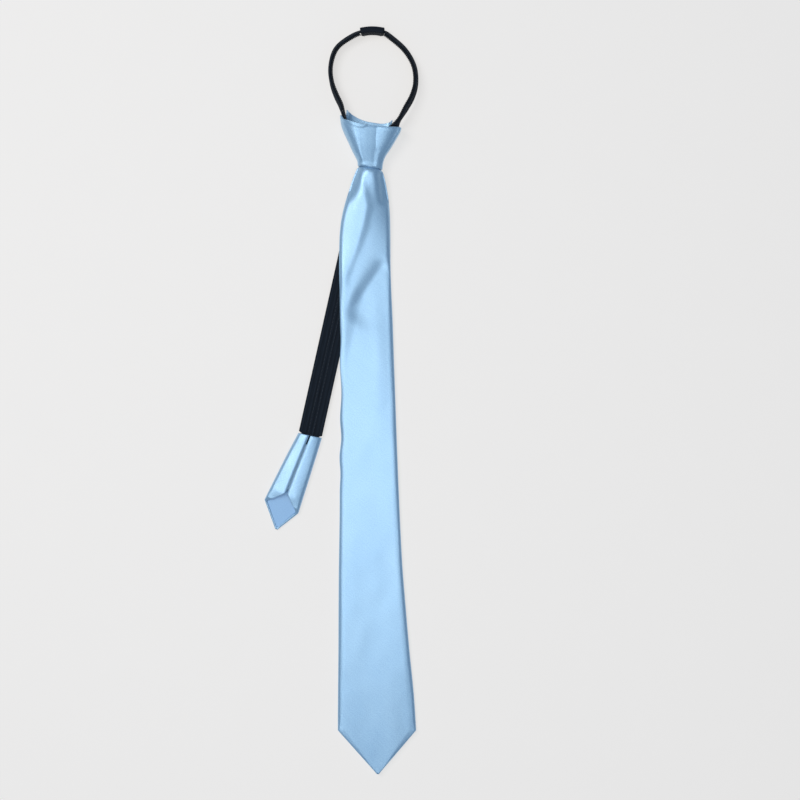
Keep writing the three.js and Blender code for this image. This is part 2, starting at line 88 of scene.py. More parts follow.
def smoothstep(value, low, high):
    share = clamp((value - low) / (high - low))
    return share * share * (3 - 2 * share)


def spread(low, high, step):
    """Evenly spaced values from low to high, both included."""
    count = max(1, math.ceil((high - low) / step))
    return [lerp(low, high, k / count) for k in range(count + 1)]


def track(rows, columns, key):
    """A smooth line through one named column of a table; its first column says where each row is."""
    places = [row[0] for row in rows]
    values = [row[columns.index(key)] for row in rows]
    steps = [(b - a) / (q - p) for a, b, p, q in zip(values, values[1:], places, places[1:])]
    slopes = [steps[0]]
    for before, after in zip(steps, steps[1:]):
        slopes.append(2 * before * after / (before + after) if before * after > 0 else 0.0)
    slopes.append(steps[-1])

    def value(place):
        if place <= places[0]:
            return values[0]
        if place >= places[-1]:
            return values[-1]
        k = next(i for i in range(1, len(places)) if places[i] >= place) - 1
        gap = places[k + 1] - places[k]
        s = (place - places[k]) / gap
        return (values[k] * (1 + 2 * s) * (1 - s) ** 2 + values[k + 1] * s * s * (3 - 2 * s)
                + gap * s * (1 - s) * (slopes[k] * (1 - s) - slopes[k + 1] * s))

    return value


def tracks(rows, columns):
    return {key: track(rows, columns, key) for key in columns[1:]}


# %% [markdown]
# ## Growing cloth
#
# Cloth could be a subdivided plane pushed into shape, or a section drawn once and carried along. It is
# grown here: the first row of points is joined by edges, and each next row is extruded from it, as a
# knitting machine works. The lengths along and across the cloth are kept in a UV map in metres, so that the
# weave keeps its real size.

# %%
def in_scene(name, data):
    """An object for a mesh, a lamp or a camera, in the scene."""
    made = bpy.data.objects.new(name, data)
    bpy.context.scene.collection.objects.link(made)
    return made


def as_piece(name, bm):
    mesh = bpy.data.meshes.new(name)
    bm.to_mesh(mesh)
    bm.free()
    return in_scene(name, mesh)


def grow(name, rows, closed=False, outward=True):
    """Extrudes the first row of points through all the others. Closed rows are rings."""
    bm = bmesh.new()
    count = len(rows[0])
    ring = [bm.verts.new(point) for point in rows[0]]
    edges = [bm.edges.new((ring[j], ring[j + 1])) for j in range(count - 1)]
    if closed:
        edges.append(bm.edges.new((ring[-1], ring[0])))
    place = {vert: (0, j) for j, vert in enumerate(ring)}
    for i, row in enumerate(rows[1:], start=1):
        grown = bmesh.ops.extrude_edge_only(bm, edges=edges)["geom"]
        fresh = {item for item in grown if isinstance(item, bmesh.types.BMVert)}
        for vert in fresh:
            old = next(e.other_vert(vert) for e in vert.link_edges if e.other_vert(vert) not in fresh)
            place[vert] = (i, place[old][1])
            vert.co = row[place[vert][1]]
        edges = [item for item in grown if isinstance(item, bmesh.types.BMEdge)]
        edges = [e for e in edges if e.verts[0] in fresh and e.verts[1] in fresh]
    lay_out(bm, rows, place, closed)
    if outward:
        face_out(bm, rows, place)
    for face in bm.faces:
        face.smooth = True
    return as_piece(name, bm)


def lay_out(bm, rows, place, closed):
    """Writes how far along and across the cloth each corner is."""
    count = len(rows[0])
    middle = count // 2
    across = []
    for row in rows:
        line = [0.0]
        for j in range(count if closed else count - 1):
            line.append(line[-1] + (row[(j + 1) % count] - row[j]).length)
        across.append([x - line[middle] for x in line])
    along = [0.0]
    for before, after in zip(rows, rows[1:]):
        along.append(along[-1] + (after[middle] - before[middle]).length)
    layer = bm.loops.layers.uv.new("lay")
    for face in bm.faces:
        columns = [place[loop.vert][1] for loop in face.loops]
        wraps = closed and max(columns) - min(columns) > 1
        for loop in face.loops:
            i, j = place[loop.vert]
            loop[layer].uv = (across[i][count if wraps and j == 0 else j], along[i])


def face_out(bm, rows, place):
    """Turns the faces away from the middle of their row."""
    middles = [sum(row, Vector()) / len(row) for row in rows]
    bm.normal_update()
    outwards = [face.calc_center_median() - middles[place[face.verts[0]][0]] for face in bm.faces]
    if sum(out.dot(face.normal) for out, face in zip(outwards, bm.faces)) < 0:
        bmesh.ops.reverse_faces(bm, faces=bm.faces[:])


def faces(piece):
    return len(piece.data.polygons)


def weld(piece):
    """Joins the first and the last row of a closed wall, and turns its faces outward."""
    bm = bmesh.new()
    bm.from_mesh(piece.data)
    bmesh.ops.remove_doubles(bm, verts=bm.verts[:], dist=1e-7)
    bmesh.ops.recalc_face_normals(bm, faces=bm.faces[:])
    bm.to_mesh(piece.data)
    bm.free()
    return piece


def wall_path(out, back, bulge, thickness, steps):
    """Where a closed wall runs and how deep it is inside its outer face: along the outside, over one rim,
    back along the inside and over the other. Each rim is rounded in some steps and stands out by the bulge."""
    def rim(end, way):
        turns = [math.pi * k / (steps + 1) for k in range(1, steps + 1)]
        return [(end + way * math.sin(t) * bulge, thickness / 2 * (1 - way * math.cos(t))) for t in turns]

    path = [(place, 0.0) for place in out] + rim(out[-1], 1)
    path += [(place, thickness) for place in back[::-1]] + rim(out[0], -1)
    return path + path[:1]


def thicken(piece, thickness, offset=-1.0, levels=0):
    """Gives cloth its thickness, towards the inside, and rounds its cut edges."""
    solid = piece.modifiers.new("thickness", "SOLIDIFY")
    solid.thickness = thickness * MM
    solid.offset = offset
    if levels:
        smooth = piece.modifiers.new("roundness", "SUBSURF")
        smooth.levels = levels
        smooth.render_levels = levels
    return piece


def tube(name, path, radius, sides=8):
    """A thread or wire along a path of points in metres."""
    rows = []
    side = None
    for k, point in enumerate(path):
        ahead = (path[min(k + 1, len(path) - 1)] - path[max(k - 1, 0)]).normalized()
        side = (side or ahead.orthogonal())
        side = (side - ahead * side.dot(ahead)).normalized()
        other = ahead.cross(side)
        turns = [2 * math.pi * j / sides for j in range(sides)]
        rows.append([point + (side * math.cos(t) + other * math.sin(t)) * radius for t in turns])
    return grow(name, rows, closed=True)


def join(name, parts):
    """Joins small repeated parts into one piece."""
    bm = bmesh.new()
    for part in parts:
        bm.from_mesh(part.data)
        old = part.data
        bpy.data.objects.remove(part)
        bpy.data.meshes.remove(old)
    return as_piece(name, bm)


# %% [markdown]
# ## Where the tail runs, and how the blade lies over it
#
# The closed zip leaves the throat, turns a little to the left and comes down to the table. The front blade
# lies over it and drops beside it. Both could be simulated, but the photograph fixes where they lie, so the
# same few formulas as in the part place them.

# %%
TAPE_HALF, TAPE_CLOTH, CHAIN_GAP = 7.5, 1.0, 0.3
TAPE_WIDTH = 2 * TAPE_HALF + CHAIN_GAP
COIL_HEIGHT, COIL_WIDTH, COIL_STOP = 1.2, 4.0, 0.6
TAPE_ON_REST = COIL_HEIGHT + CLEARANCE
THROAT_PINCH = 1.9
KNOT_WALL = 1.0
THROAT_RISE = KNOT_WALL + CLEARANCE
TAIL_LENGTH, TAIL_TUCK, TAIL_TUCK_HALF, TAIL_TAPER = 176.0, 6.0, 5.3, 0.8
TAIL_LEAN = math.radians(12.6)
TAIL_BEND = 3.0
TAPE_FALL = 18.0
DRAPE_SHOULDER, DRAPE_RUN = 1.5, 11.0
# The front layer bridges the step beside the tape; its bridge shortens and its press grows down the blade
BRIDGE_RUN, BRIDGE_RUN_LOW, BRIDGE_INSET, FRONT_PRESS = 26.0, 9.0, 2.4, 1.3


def tape_x(y):
    lean = math.tan(TAIL_LEAN)
    if y > TAIL_BEND:
        return THROAT_X
    if y < -TAIL_BEND:
        return THROAT_X + lean * y
    return THROAT_X - lean * (TAIL_BEND - y) ** 2 / (4 * TAIL_BEND)


def throat_share(y):
    return smoothstep(y, -TAPE_FALL, -TAIL_BEND)


def tape_underside(y):
    return TAPE_ON_REST + THROAT_RISE * throat_share(y)


def blade_underside(x, y):
    tape_edge = tape_x(y) + TAPE_WIDTH / 2 / math.cos(TAIL_LEAN) + DRAPE_SHOULDER
    beside = 1 - smoothstep(x - tape_edge, 0, DRAPE_RUN)
    share = 1 - (1 - beside) * (1 - throat_share(y))
    return share * (tape_underside(y) + TAPE_CLOTH + CLEARANCE)


def front_lift(x, y):
    """Height of the front layer's own bed: it bridges the step beside the tape, and rides level below it."""
    edge = tape_x(y) + TAPE_WIDTH / 2 / math.cos(TAIL_LEAN) - BRIDGE_INSET
    run = lerp(BRIDGE_RUN, BRIDGE_RUN_LOW, smoothstep(-y, 45, 92))
    beside = 1 - smoothstep(x - edge, 0, run)
    share = 1 - (1 - beside) * (1 - throat_share(y)) * (1 - 0.5 * smoothstep(-y, 68, 118))
    lift = tape_underside(y) + TAPE_CLOTH + CLEARANCE - FRONT_PRESS * smoothstep(-y, 22, 60)
    return share * lift * (1 - smoothstep(-y, 105, 190))


# %% [markdown]
# ## Folds
#
# A fold could be sculpted or simulated. Here it is a line on the cloth with a height and a width on either
# side: the cloth rises to it on one side and falls from it on the other, which is what makes satin light
# and dark.

# %%
def beside_line(x, y, line):
    """Signed distance to a line of points, positive on its right as it is walked, and the share walked."""
    best = None
    total = sum(math.dist(a, b) for a, b in zip(line, line[1:]))
    walked = 0.0
    for (ax, ay), (bx, by) in zip(line, line[1:]):
        dx, dy = bx - ax, by - ay
        length = math.hypot(dx, dy)
        share = clamp(((x - ax) * dx + (y - ay) * dy) / length ** 2)
        px, py = ax + dx * share - x, ay + dy * share - y
        gap = math.hypot(px, py)
        if best is None or gap < abs(best[0]):
            sign = 1 if dx * (y - ay) - dy * (x - ax) < 0 else -1
            best = (sign * gap, (walked + share * length) / total)
        walked += length
    return best


def fold(x, y, line, height, left, right, fade=0.8):
    """A soft ridge along a line; left and right are how far it reaches, fade is where it begins to end."""
    gap, share = beside_line(x, y, line)
    reach = right if gap > 0 else left
    ends = smoothstep(share, -0.001, 0.18) * (1 - smoothstep(share, fade, 1.001))
    return height * math.exp(-(gap / reach) ** 2) * ends


# %% [markdown]
# ## Front blade
#
# One bias-cut piece of satin folded round a lining, with its two flaps meeting on the back. It could be a
# flat bag, but a tie's edges are soft rolled folds and its flaps spread at the point, so the section is
# drawn once and its width, sideways drift and crown come from the same table as the part.

# %%
BLADE_LENGTH, BLADE_WIDTH, POINT_LENGTH = 360.0, 50.0, 28.7
BLADE_TUCK, FLAP_SPREAD, CROWN_HEIGHT = 7.0, 20.0, 3.2
SEAM_GAP, HEM, TIP_HALF, TIP_DRIFT = 0.8, 1.3, 0.9, 0.115
POINT_END = 0.965
KNOT_TILT = math.radians(-8.5)
KNOT_LENGTH = 27.9
BLADE_COLUMNS = ("at", "width", "drift", "crown", "ridge")
BLADE_ROWS = [
    (0.0045, 0.25, 0.016, 0.45, 0),
    (0.0064, 0.3, 0.016, 0.76, 0),
    (0.009, 0.328, 0.015, 0.92, 0),
    (0.015, 0.362, 0.012, 1, 0),
    (0.026, 0.416, 0.006, 1, 0.02),
    (0.04, 0.47, -0.003, 0.98, -0.08),
    (0.054, 0.522, -0.013, 0.88, -0.16),
    (0.069, 0.568, -0.024, 0.72, -0.24),
    (0.085, 0.605, -0.034, 0.56, -0.3),
    (0.103, 0.632, -0.043, 0.42, -0.3),
    (0.13, 0.65, -0.05, 0.28, -0.2),
    (0.175, 0.656, -0.052, 0.14, 0),
    (0.22, 0.66, -0.044, 0.05, 0),
    (0.275, 0.672, -0.032, 0, 0),
    (0.34, 0.682, -0.022, 0, 0),
    (0.405, 0.696, -0.012, 0, 0),
    (0.47, 0.714, -0.005, 0, 0),
    (0.54, 0.742, 0, 0, 0),
    (0.62, 0.77, 0.01, 0, 0),
    (0.7, 0.808, 0.02, 0, 0),
    (0.78, 0.858, 0.04, 0, 0),
    (0.86, 0.91, 0.064, 0, 0),
    (0.94, 0.972, 0.09, 0, 0),
    (0.99, 0.997, 0.101, 0, 0),
    (1, 1, 0.103, 0, 0),
]
blade = tracks(BLADE_ROWS, BLADE_COLUMNS)

# Folds of the front, in millimetres from the throat
BLADE_FOLDS = [
    # the main ridge, from the throat down towards the left edge
    dict(line=[(-7, 8), (-6.4, -6), (-4, -16), (-1.8, -26), (-4.4, -38), (-8.4, -51), (-13, -63), (-16, -71),
               (-17.6, -86)],
         height=0.85, left=3.5, right=8),
    # the long shallow valley that crosses the blade below it
    dict(line=[(12.5, -58), (6, -68.5), (-0.6, -77.7), (-10, -91), (-15, -99)],
         height=-0.7, left=14, right=5),
    # the pinched left side under the knot
    dict(line=[(-8.2, 3), (-9.6, -3), (-11.6, -11), (-13.6, -18), (-16, -27)],
         height=-2.8, left=5, right=3, fade=0.25),
    # its right side sinks too, then lifts again further down
    dict(line=[(7.5, -2), (8.5, -10), (9.5, -18), (10.5, -26)], height=-1.6, left=7.5, right=2.5),
    dict(line=[(11, -20), (12.5, -34), (13, -50), (11, -64)], height=0.15, left=10, right=8),
]


def blade_row(distance):
    """Half width, sideways drift, crown and where the crown is highest, at a distance from the throat."""
    at = distance / BLADE_LENGTH
    half = blade["width"](at) * BLADE_WIDTH / 2
    drift = blade["drift"](at) * BLADE_WIDTH
    share = max(0.0, (distance - BLADE_LENGTH) / POINT_LENGTH)
    if share:
        half = max(half * (1 - share), TIP_HALF)
        drift = lerp(blade["drift"](1), TIP_DRIFT, share) * BLADE_WIDTH
    return half, drift, blade["crown"](at) * CROWN_HEIGHT, blade["ridge"](at)


def opening_at(distance, corner_distance, flap_spread, half, corner_half):
    """How far the flaps stand from the middle."""
    share = clamp((distance - corner_distance + flap_spread) / flap_spread)
    wide = min(half, corner_half) - HEM
    return max(SEAM_GAP / 2, lerp(SEAM_GAP / 2, wide, share))


def folded_section(half, opening, pressed, flap_steps, fold_steps, front_steps):
    """Outer face of a folded blade: x and height, from one flap's edge round the front to the other's.
    Pressed is how far its flaps are pressed to the front, in millimetres."""
    middle = (BLADE_THICK - pressed) / 2
    fold_out = min(middle, half * 0.5)
    edge = half - fold_out
    slot = min(opening, edge * 0.97)
    side = [(lerp(slot, edge, k / flap_steps), pressed) for k in range(flap_steps)]
    for k in range(fold_steps + 1):
        turn = math.pi * (k / fold_steps - 0.5)
        side.append((edge + fold_out * math.cos(turn), pressed + middle * (1 + math.sin(turn))))
    front = [(edge * (1 - 2 * k / front_steps), BLADE_THICK) for k in range(1, front_steps)]
    return [(-x, v) for x, v in side] + [(-x, v) for x, v in front] + side[::-1]


# Slow waves below the folds: height in millimetres, scale across and along, seed
BLADE_WAVES = [(0.28, 0.035, 0.016, 3.1), (0.10, 0.11, 0.06, 7.7)]
EDGE_WAVE, EDGE_PRESS = 0.42, 0.3


def blade_relief(x, y):
    """How far the front stands proud of its smooth shape."""
    height = sum(fold(x, y, **one) for one in BLADE_FOLDS)
    below = smoothstep(-y, 20, 90)
    for rise, across, along, seed in BLADE_WAVES:
        height += below * rise * noise.noise(Vector((x * across, y * along, seed)))
    return height


def blade_edge_wave(y):
    """The left edge isn't quite straight where the blade comes down from the tape."""
    window = smoothstep(-y, 95, 125) * (1 - smoothstep(-y, 190, 215))
    return EDGE_WAVE * window * math.sin(y * 0.21 + 0.8 * math.sin(y * 0.07))


def place_on_blade(distance):
    half, drift, crown, ridge = blade_row(distance)
    tilt = math.tan(KNOT_TILT) * (1 - smoothstep(distance, 0, KNOT_LENGTH))

    def place(x, v, relief=True):
        y = -distance + x * tilt
        share = x / half
        across = clamp((share - ridge) / (1 - ridge if share > ridge else 1 + ridge), -1, 1)
        z = blade_underside(x + drift, y) + crown * (1 - across ** 2) + v
        if relief:
            front = smoothstep(v, BLADE_THICK * 0.55, BLADE_THICK)
            inside = 1 - smoothstep(abs(share), lerp(0.95, 0.88, smoothstep(distance, 22, 40)), 1.0)
            bed = front_lift(x + drift, y) - blade_underside(x + drift, y)
            z += bed * v / BLADE_THICK * (1 - smoothstep(share, 0.3, 1.0) * smoothstep(-y, 60, 90))
            z += blade_relief(x + drift, y) * front * inside
            z -= EDGE_PRESS * front * smoothstep(abs(share), 0.8, 1.0)
        shift = blade_edge_wave(y) * clamp(-share)
        return in_frame(x + drift + shift, y, z)

    return place


def blade_half(distance):
    return blade_row(distance)[0]


def make_folded(name, distances, half_at, place_at, length, width, flap_spread, press_past, steps):
    """A folded blade; press_past is how far beyond its length the flaps are fully pressed."""
    rows = []
    for distance in distances:
        half = half_at(distance)
        opening = opening_at(distance, length, flap_spread, half, width / 2)
        pressed = PRESSED * smoothstep(distance, length - flap_spread * 0.3, length + press_past)
        place = place_at(distance)
        rows.append([place(x, v) for x, v in folded_section(half, opening, pressed, *steps)])
    return thicken(grow(name, rows), SATIN_THICK)


# Close rows where the blade has folds and at its point, wider ones between
FOLDS_END, FINE_ROW, WIDE_ROW = 70, 0.8, 1.7
flaps_open = BLADE_LENGTH - FLAP_SPREAD
blade_end = BLADE_LENGTH + POINT_LENGTH * POINT_END
blade_distances = spread(-BLADE_TUCK + CLEARANCE, FOLDS_END, FINE_ROW)
blade_distances += spread(FOLDS_END + 1, flaps_open - 8, WIDE_ROW)
blade_distances += spread(flaps_open - 7, blade_end, FINE_ROW)
front_blade = make_folded("front_blade_satin", blade_distances, blade_half, place_on_blade, BLADE_LENGTH,
                          BLADE_WIDTH, FLAP_SPREAD, 2, (7, 9, 44))
print("front blade", faces(front_blade), "faces")


# %% [markdown]
# ## Lining of the points
#
# The lining is a kite of thin cloth that closes the back of each point. It shows on the tail's end, which
# lies seam side up, and on the underside of the front blade.

# %%
LINING_TIP = 1.4
LINING_THICK = 0.35
LINING_SAG = 0.12
LINING_AT = BLADE_THICK - SATIN_THICK - LINING_THICK / 2 - 0.15


def make_lining(name, distances, half_at, place_at, sag, columns=25):
    """A lining between the flaps. It sags with noise, whose scale across, scale along and seed are given."""
    rows = []
    for distance in distances:
        half = half_at(distance)
        reach = half - min(CLOTH, half * 0.35) - 2 * CLEARANCE
        if half <= LINING_TIP:
            continue
        place = place_at(distance)
        row = []
        for j in range(columns):
            x = reach * (2 * j / (columns - 1) - 1)
            drop = LINING_SAG * noise.noise(Vector((x * sag[0], distance * sag[1], sag[2])))
            row.append(place(x, LINING_AT + drop, False))
        rows.append(row)
    return thicken(grow(name, rows, outward=False), LINING_THICK, offset=0.0)


front_lining = make_lining("front_tipping_lining", spread(flaps_open - 2 * HEM, blade_end, 1.0),
                           blade_half, place_on_blade, (0.1, 0.1, 1.3))
print("front lining", faces(front_lining), "faces")

# %% [markdown]
# ## Knot
#
# A real tied knot is three turns of cloth over a core. What shows is one smooth wrap that narrows to the
# throat, with a rolled hem round its mouth and a strip folded under at its upper left. Its wall is one
# closed surface: up the outside, over the hem, down the inside and back round the throat's edge.

# %%
KNOT_FOOT, KNOT_WIDTH, KNOT_HEIGHT = -1.5, 39.6, 16.5
KNOT_SQUARENESS, MOUTH_DIP = 3.2, 2.2
KNOT_COLUMNS = ("at", "width", "height", "drift")
KNOT_ROWS = [
    (0, 0.4, 0.625, 0),
    (0.1, 0.41, 0.645, 0),
    (0.2, 0.46, 0.69, -0.01),
    (0.31, 0.534, 0.74, -0.018),
    (0.52, 0.7, 0.83, -0.01),
    (0.73, 0.858, 0.91, -0.006),
    (0.9, 0.965, 0.97, 0.006),
    (1, 1, 1, 0.012),
]
knot = tracks(KNOT_ROWS, KNOT_COLUMNS)
KNOT_AROUND = 150
RIM_AT = 0.018
# Folded strip at the upper left: across and along the knot, in millimetres
STRIP_LINE = [(-17.5, 26.6), (-15.1, 25.9), (-11.3, 24.1), (-7.5, 23.5), (-4.4, 23.8), (-2.4, 24.7),
              (-0.4, 26.4)]
STRIP_RISE = 0.14
HEM_RISE, HEM_AT, HEM_WIDTH = 0.12, 0.6, 0.8
# How far the left corner of the mouth stands up
KNOT_HORN = 2.2
# The front turns down from its left to its right: slope, where the turn starts and ends, and what lifts its left
KNOT_TURN, TURN_START, TURN_END, KNOT_LEFT_RISE = 0.18, -0.66, 0.95, 0.3
# One broad pleat: its rise, and where it lies at the throat and at the mouth
PLEAT_RISE, PLEAT_AT_THROAT, PLEAT_AT_MOUTH = 0.3, 0.38, 0.5
# Soft pleats that run from the mouth to the throat: across and width as shares of the half width, and height
KNOT_PLEATS = [
    (-0.56, 0.17, 0.34),
    (0.42, 0.2, -0.05),
    (0.68, 0.14, 0.12),
]


def in_knot(x, along, z):
    return in_frame(THROAT_X + x * math.cos(KNOT_TILT), KNOT_FOOT + along + x * math.sin(KNOT_TILT), z)


def rounded(value, power):
    return math.copysign(abs(value) ** power, value)


def superellipse(count, ratio):
    """Points of a squarish ring of half width 1 and half height 1, evenly spaced when its height is ratio."""
    power = 2 / KNOT_SQUARENESS
    fine = 4000
    points = []
    for k in range(fine + 1):
        turn = 2 * math.pi * k / fine - math.pi / 2
        points.append((rounded(math.cos(turn), power), rounded(math.sin(turn), power)))
    run = [0.0]
    for (ax, az), (bx, bz) in zip(points, points[1:]):
        run.append(run[-1] + math.hypot(bx - ax, (bz - az) * ratio))
    ring, k = [], 0
    for step in range(count):
        wanted = run[-1] * step / count
        while run[k + 1] < wanted:
            k += 1
        ring.append(points[k])
    return ring


knot_ring = superellipse(KNOT_AROUND, KNOT_HEIGHT / KNOT_WIDTH)


def knot_relief(across, x, along, edge_gap):
    """Pleats, hem and the folded strip of the knot's front."""
    fade = smoothstep(along, 0, 5) * (1 - 0.5 * smoothstep(along, 16, 26))
    height = sum(h * math.exp(-((across - c) / w) ** 2) for c, w, h in KNOT_PLEATS) * fade
    gap, share = beside_line(x, along, STRIP_LINE)
    strip = smoothstep(gap, -3.6, -0.1) * (1 - smoothstep(gap, -0.1, 0.7))
    strip *= 1 - smoothstep(share, 0.85, 1.0)
    height += STRIP_RISE * strip + HEM_RISE * math.exp(-((edge_gap - HEM_AT) / HEM_WIDTH) ** 2)
    half = knot["width"](clamp(along / KNOT_LENGTH)) * KNOT_WIDTH / 2
    pleat = lerp(PLEAT_AT_THROAT, PLEAT_AT_MOUTH, clamp(along / KNOT_LENGTH))
    turned = (pleat + 0.62) * smoothstep(across, TURN_START, TURN_END)
    height -= KNOT_TURN * half * (turned - KNOT_LEFT_RISE)
    height += PLEAT_RISE * smoothstep(across, pleat - 0.15, pleat + 0.2)
    return height + 0.12 * noise.noise(Vector((x * 0.16, along * 0.12, 5.2)))


def make_knot():
    rows = []
    outside = spread(RIM_AT, 0.9, 0.022) + spread(0.91, 1 - RIM_AT, 0.009)
    inside = spread(RIM_AT, 1 - RIM_AT, 0.04)
    for at, inset in wall_path(outside, inside, KNOT_WALL / 2 / KNOT_LENGTH, KNOT_WALL, 6):
        half = knot["width"](at) * KNOT_WIDTH / 2
        middle = knot["height"](at) * KNOT_HEIGHT / 2
        drift = knot["drift"](at) * KNOT_WIDTH
        row = []
        for ux, uz in knot_ring:
            sag = MOUTH_DIP * clamp(at) ** 3 * (1 - ux * ux) if uz > 0 else 0
            x, z = drift + ux * (half - inset), middle + uz * (middle - inset)
            along = at * KNOT_LENGTH - sag + KNOT_HORN * smoothstep(-ux, 0.88, 1) * smoothstep(at, 0.82, 1)
            if inset == 0 and uz > 0:
                front = smoothstep(uz, 0.35, 0.9)
                z += front * knot_relief(ux, x, along, (1 - at) * KNOT_LENGTH)
            row.append(in_knot(x, along, z))
        rows.append(row)
    return weld(grow("knot_wrap_satin", rows, closed=True))


knot_wrap = make_knot()
print("knot", faces(knot_wrap), "faces")

# %% [markdown]
# ## Back panel of the knot
#
# Behind the front, a stiffer panel rises towards the collar. Its top edge is hollowed and its sides are
# turned up.

# %%
BACK_PEAK, BACK_HALF, BACK_SIDE, BACK_TUCK, BACK_DRIFT = 7.2, 13.6, 5.6, 4.4, -0.1
BACK_FLARE = 2.9
BACK_COLUMNS = ("column", "across", "up", "peak")
BACK_LINE = [
    (0, -1, 1, 0.88),
    (1, -0.99, 0.5, 0.89),
    (2, -0.93, 0.14, 0.85),
    (3, -0.78, 0, 0.66),
    (4, -0.4, 0, 0.37),
    (5, 0, 0, 0.26),
    (6, 0.4, 0, 0.26),
    (7, 0.78, 0, 0.4),
    (8, 0.93, 0.14, 0.54),
    (9, 0.99, 0.5, 0.58),
    (10, 1, 1, 0.58),
]
REACH_COLUMNS = ("reach", "spread", "raise")
REACH_ROWS = [(0, 0.88, 0), (0.3, 0.98, 0.1), (0.62, 1.05, 0.8), (1, 1.08, 1)]
back = tracks(BACK_LINE, BACK_COLUMNS)
reach_of = tracks(REACH_ROWS, REACH_COLUMNS)


def knot_floor(x, along):
    at = clamp(along / KNOT_LENGTH)
    half = knot["width"](at) * KNOT_WIDTH / 2 - KNOT_WALL
    middle = knot["height"](at) * KNOT_HEIGHT / 2
    out = clamp(abs(x - knot["drift"](at) * KNOT_WIDTH) / half)
    return middle - (middle - KNOT_WALL) * (1 - out ** KNOT_SQUARENESS) ** (1 / KNOT_SQUARENESS)


def back_point(reach, column):
    along = lerp(KNOT_LENGTH - BACK_TUCK, KNOT_LENGTH + back["peak"](column) * BACK_PEAK, reach)
    across = back["across"](column)
    x = BACK_DRIFT + across * BACK_HALF * reach_of["spread"](reach)
    x -= lerp(BACK_FLARE, 0.4, smoothstep(reach, 0.2, 1)) * smoothstep(-across, 0.7, 1)
    z = knot_floor(x, along) + 2 * CLEARANCE + back["up"](column) * reach_of["raise"](reach) * BACK_SIDE
    wrinkle = 0.07 * noise.noise(Vector((x * 0.16, along * 0.22, 2.4)))
    return x, along, z + wrinkle * reach


def make_back():
    columns = spread(0, 10, 0.125)
    rows = []
    for reach in spread(0, 1, 0.025):
        line = [back_point(reach, column) for column in columns]
        row = []
        for k, (x, along, z) in enumerate(line):
            before, after = line[max(k - 1, 0)], line[min(k + 1, len(line) - 1)]
            inward = Vector((before[2] - after[2], after[0] - before[0])).normalized() * CLOTH / 2
            row.append(in_knot(x + inward.x, along, z + inward.y))
        rows.append(row)
    return thicken(grow("knot_back_satin", rows, outward=False), SATIN_THICK, offset=0.0, levels=1)


knot_back = make_back()
print("knot back", faces(knot_back), "faces")

# %% [markdown]
# ## Zip tape round the neck
#
# Two halves of an opened zip stand on edge round the neck. Each is a woven ribbon with lengthwise ribs, and
# its teeth are one continuous wire coil sewn along its upper inner edge. The ribbon could be a curve with a
# bevel, but it twists from standing to lying just before the slider, so its frames are worked out along the
# path.

# %%
SIDES = ("left", "right")
KNOT_MOUTH_DRIFT = knot["drift"](1) * KNOT_WIDTH
SLIDER_TOP = SLIDER_FOOT + SLIDER_LENGTH
STAND = TAPE_HALF / 2
LOOP_RADIUS, LOOP_X, LOOP_Y = 27.5, 2.2, 58.9
TAB_LENGTH, TAB_WALL, TAB_PLAY = 14.6, 1.0, 0.25
ENTRY_HEIGHT = 3.9
# Degrees from the tab, and radius and lift as shares of LOOP_RADIUS and ENTRY_HEIGHT
LOOP_ROWS = {
    "left": [(30, 1.005, 0.1), (55, 1.04, 0.06), (80, 1.005, 0.12), (103, 0.985, 0.34), (122, 1.005, 0.62),
             (136, 1.07, 0.85)],
    "right": [(30, 0.955, 0.1), (55, 0.955, 0.06), (80, 1.005, 0.12), (103, 1.055, 0.34), (120, 1.095, 0.62),
              (136, 1.15, 0.85)],
}
# Into the knot: shares of its half width, of the way up from the slider, and of the lift
ENTRY_ROWS = {
    "left": [(0.87, 1, 1.1), (0.8, 0.66, 1.12), (0.56, 0.3, 0.7)],
    "right": [(0.8, 1, 1.05), (0.7, 0.66, 1.02), (0.5, 0.3, 0.85)],
}
TWIST_LENGTH = {"left": 17.0, "right": 22.0}
TWIST_REST = 2.0
LEAN_AT_TAB, LEAN_AT_KNOT = math.radians(22), math.radians(10)
LEAN = {"left": math.radians(5.5), "right": math.radians(9)}


def rounded_path(points, step):
    """Evenly spaced points of a centripetal curve through the given ones."""
    points = [2 * points[0] - points[1]] + points + [2 * points[-1] - points[-2]]
    fine = []
    for a, b, c, d in zip(points, points[1:], points[2:], points[3:]):
        t0, t1, t2 = [max((q - p).length, 1e-6) ** 0.5 for p, q in ((a, b), (b, c), (c, d))]
        out = ((b - a) / t0 - (c - a) / (t0 + t1) + (c - b) / t1) * t1
        arrive = ((c - b) / t1 - (d - b) / (t1 + t2) + (d - c) / t2) * t1
        for k in range(60):
            s = k / 60
            fine.append(b + out * s + (3 * (c - b) - 2 * out - arrive) * s ** 2
                        + (2 * (b - c) + out + arrive) * s ** 3)
    fine.append(points[-2])
    run = [0.0]
    for before, after in zip(fine, fine[1:]):
        run.append(run[-1] + (after - before).length)
    even, k = [], 0
    for wanted in spread(0, run[-1], step):
        while k < len(run) - 2 and run[k + 1] < wanted:
            k += 1
        even.append(fine[k].lerp(fine[k + 1], clamp((wanted - run[k]) / max(run[k + 1] - run[k], 1e-9))))
    return even, run[-1]


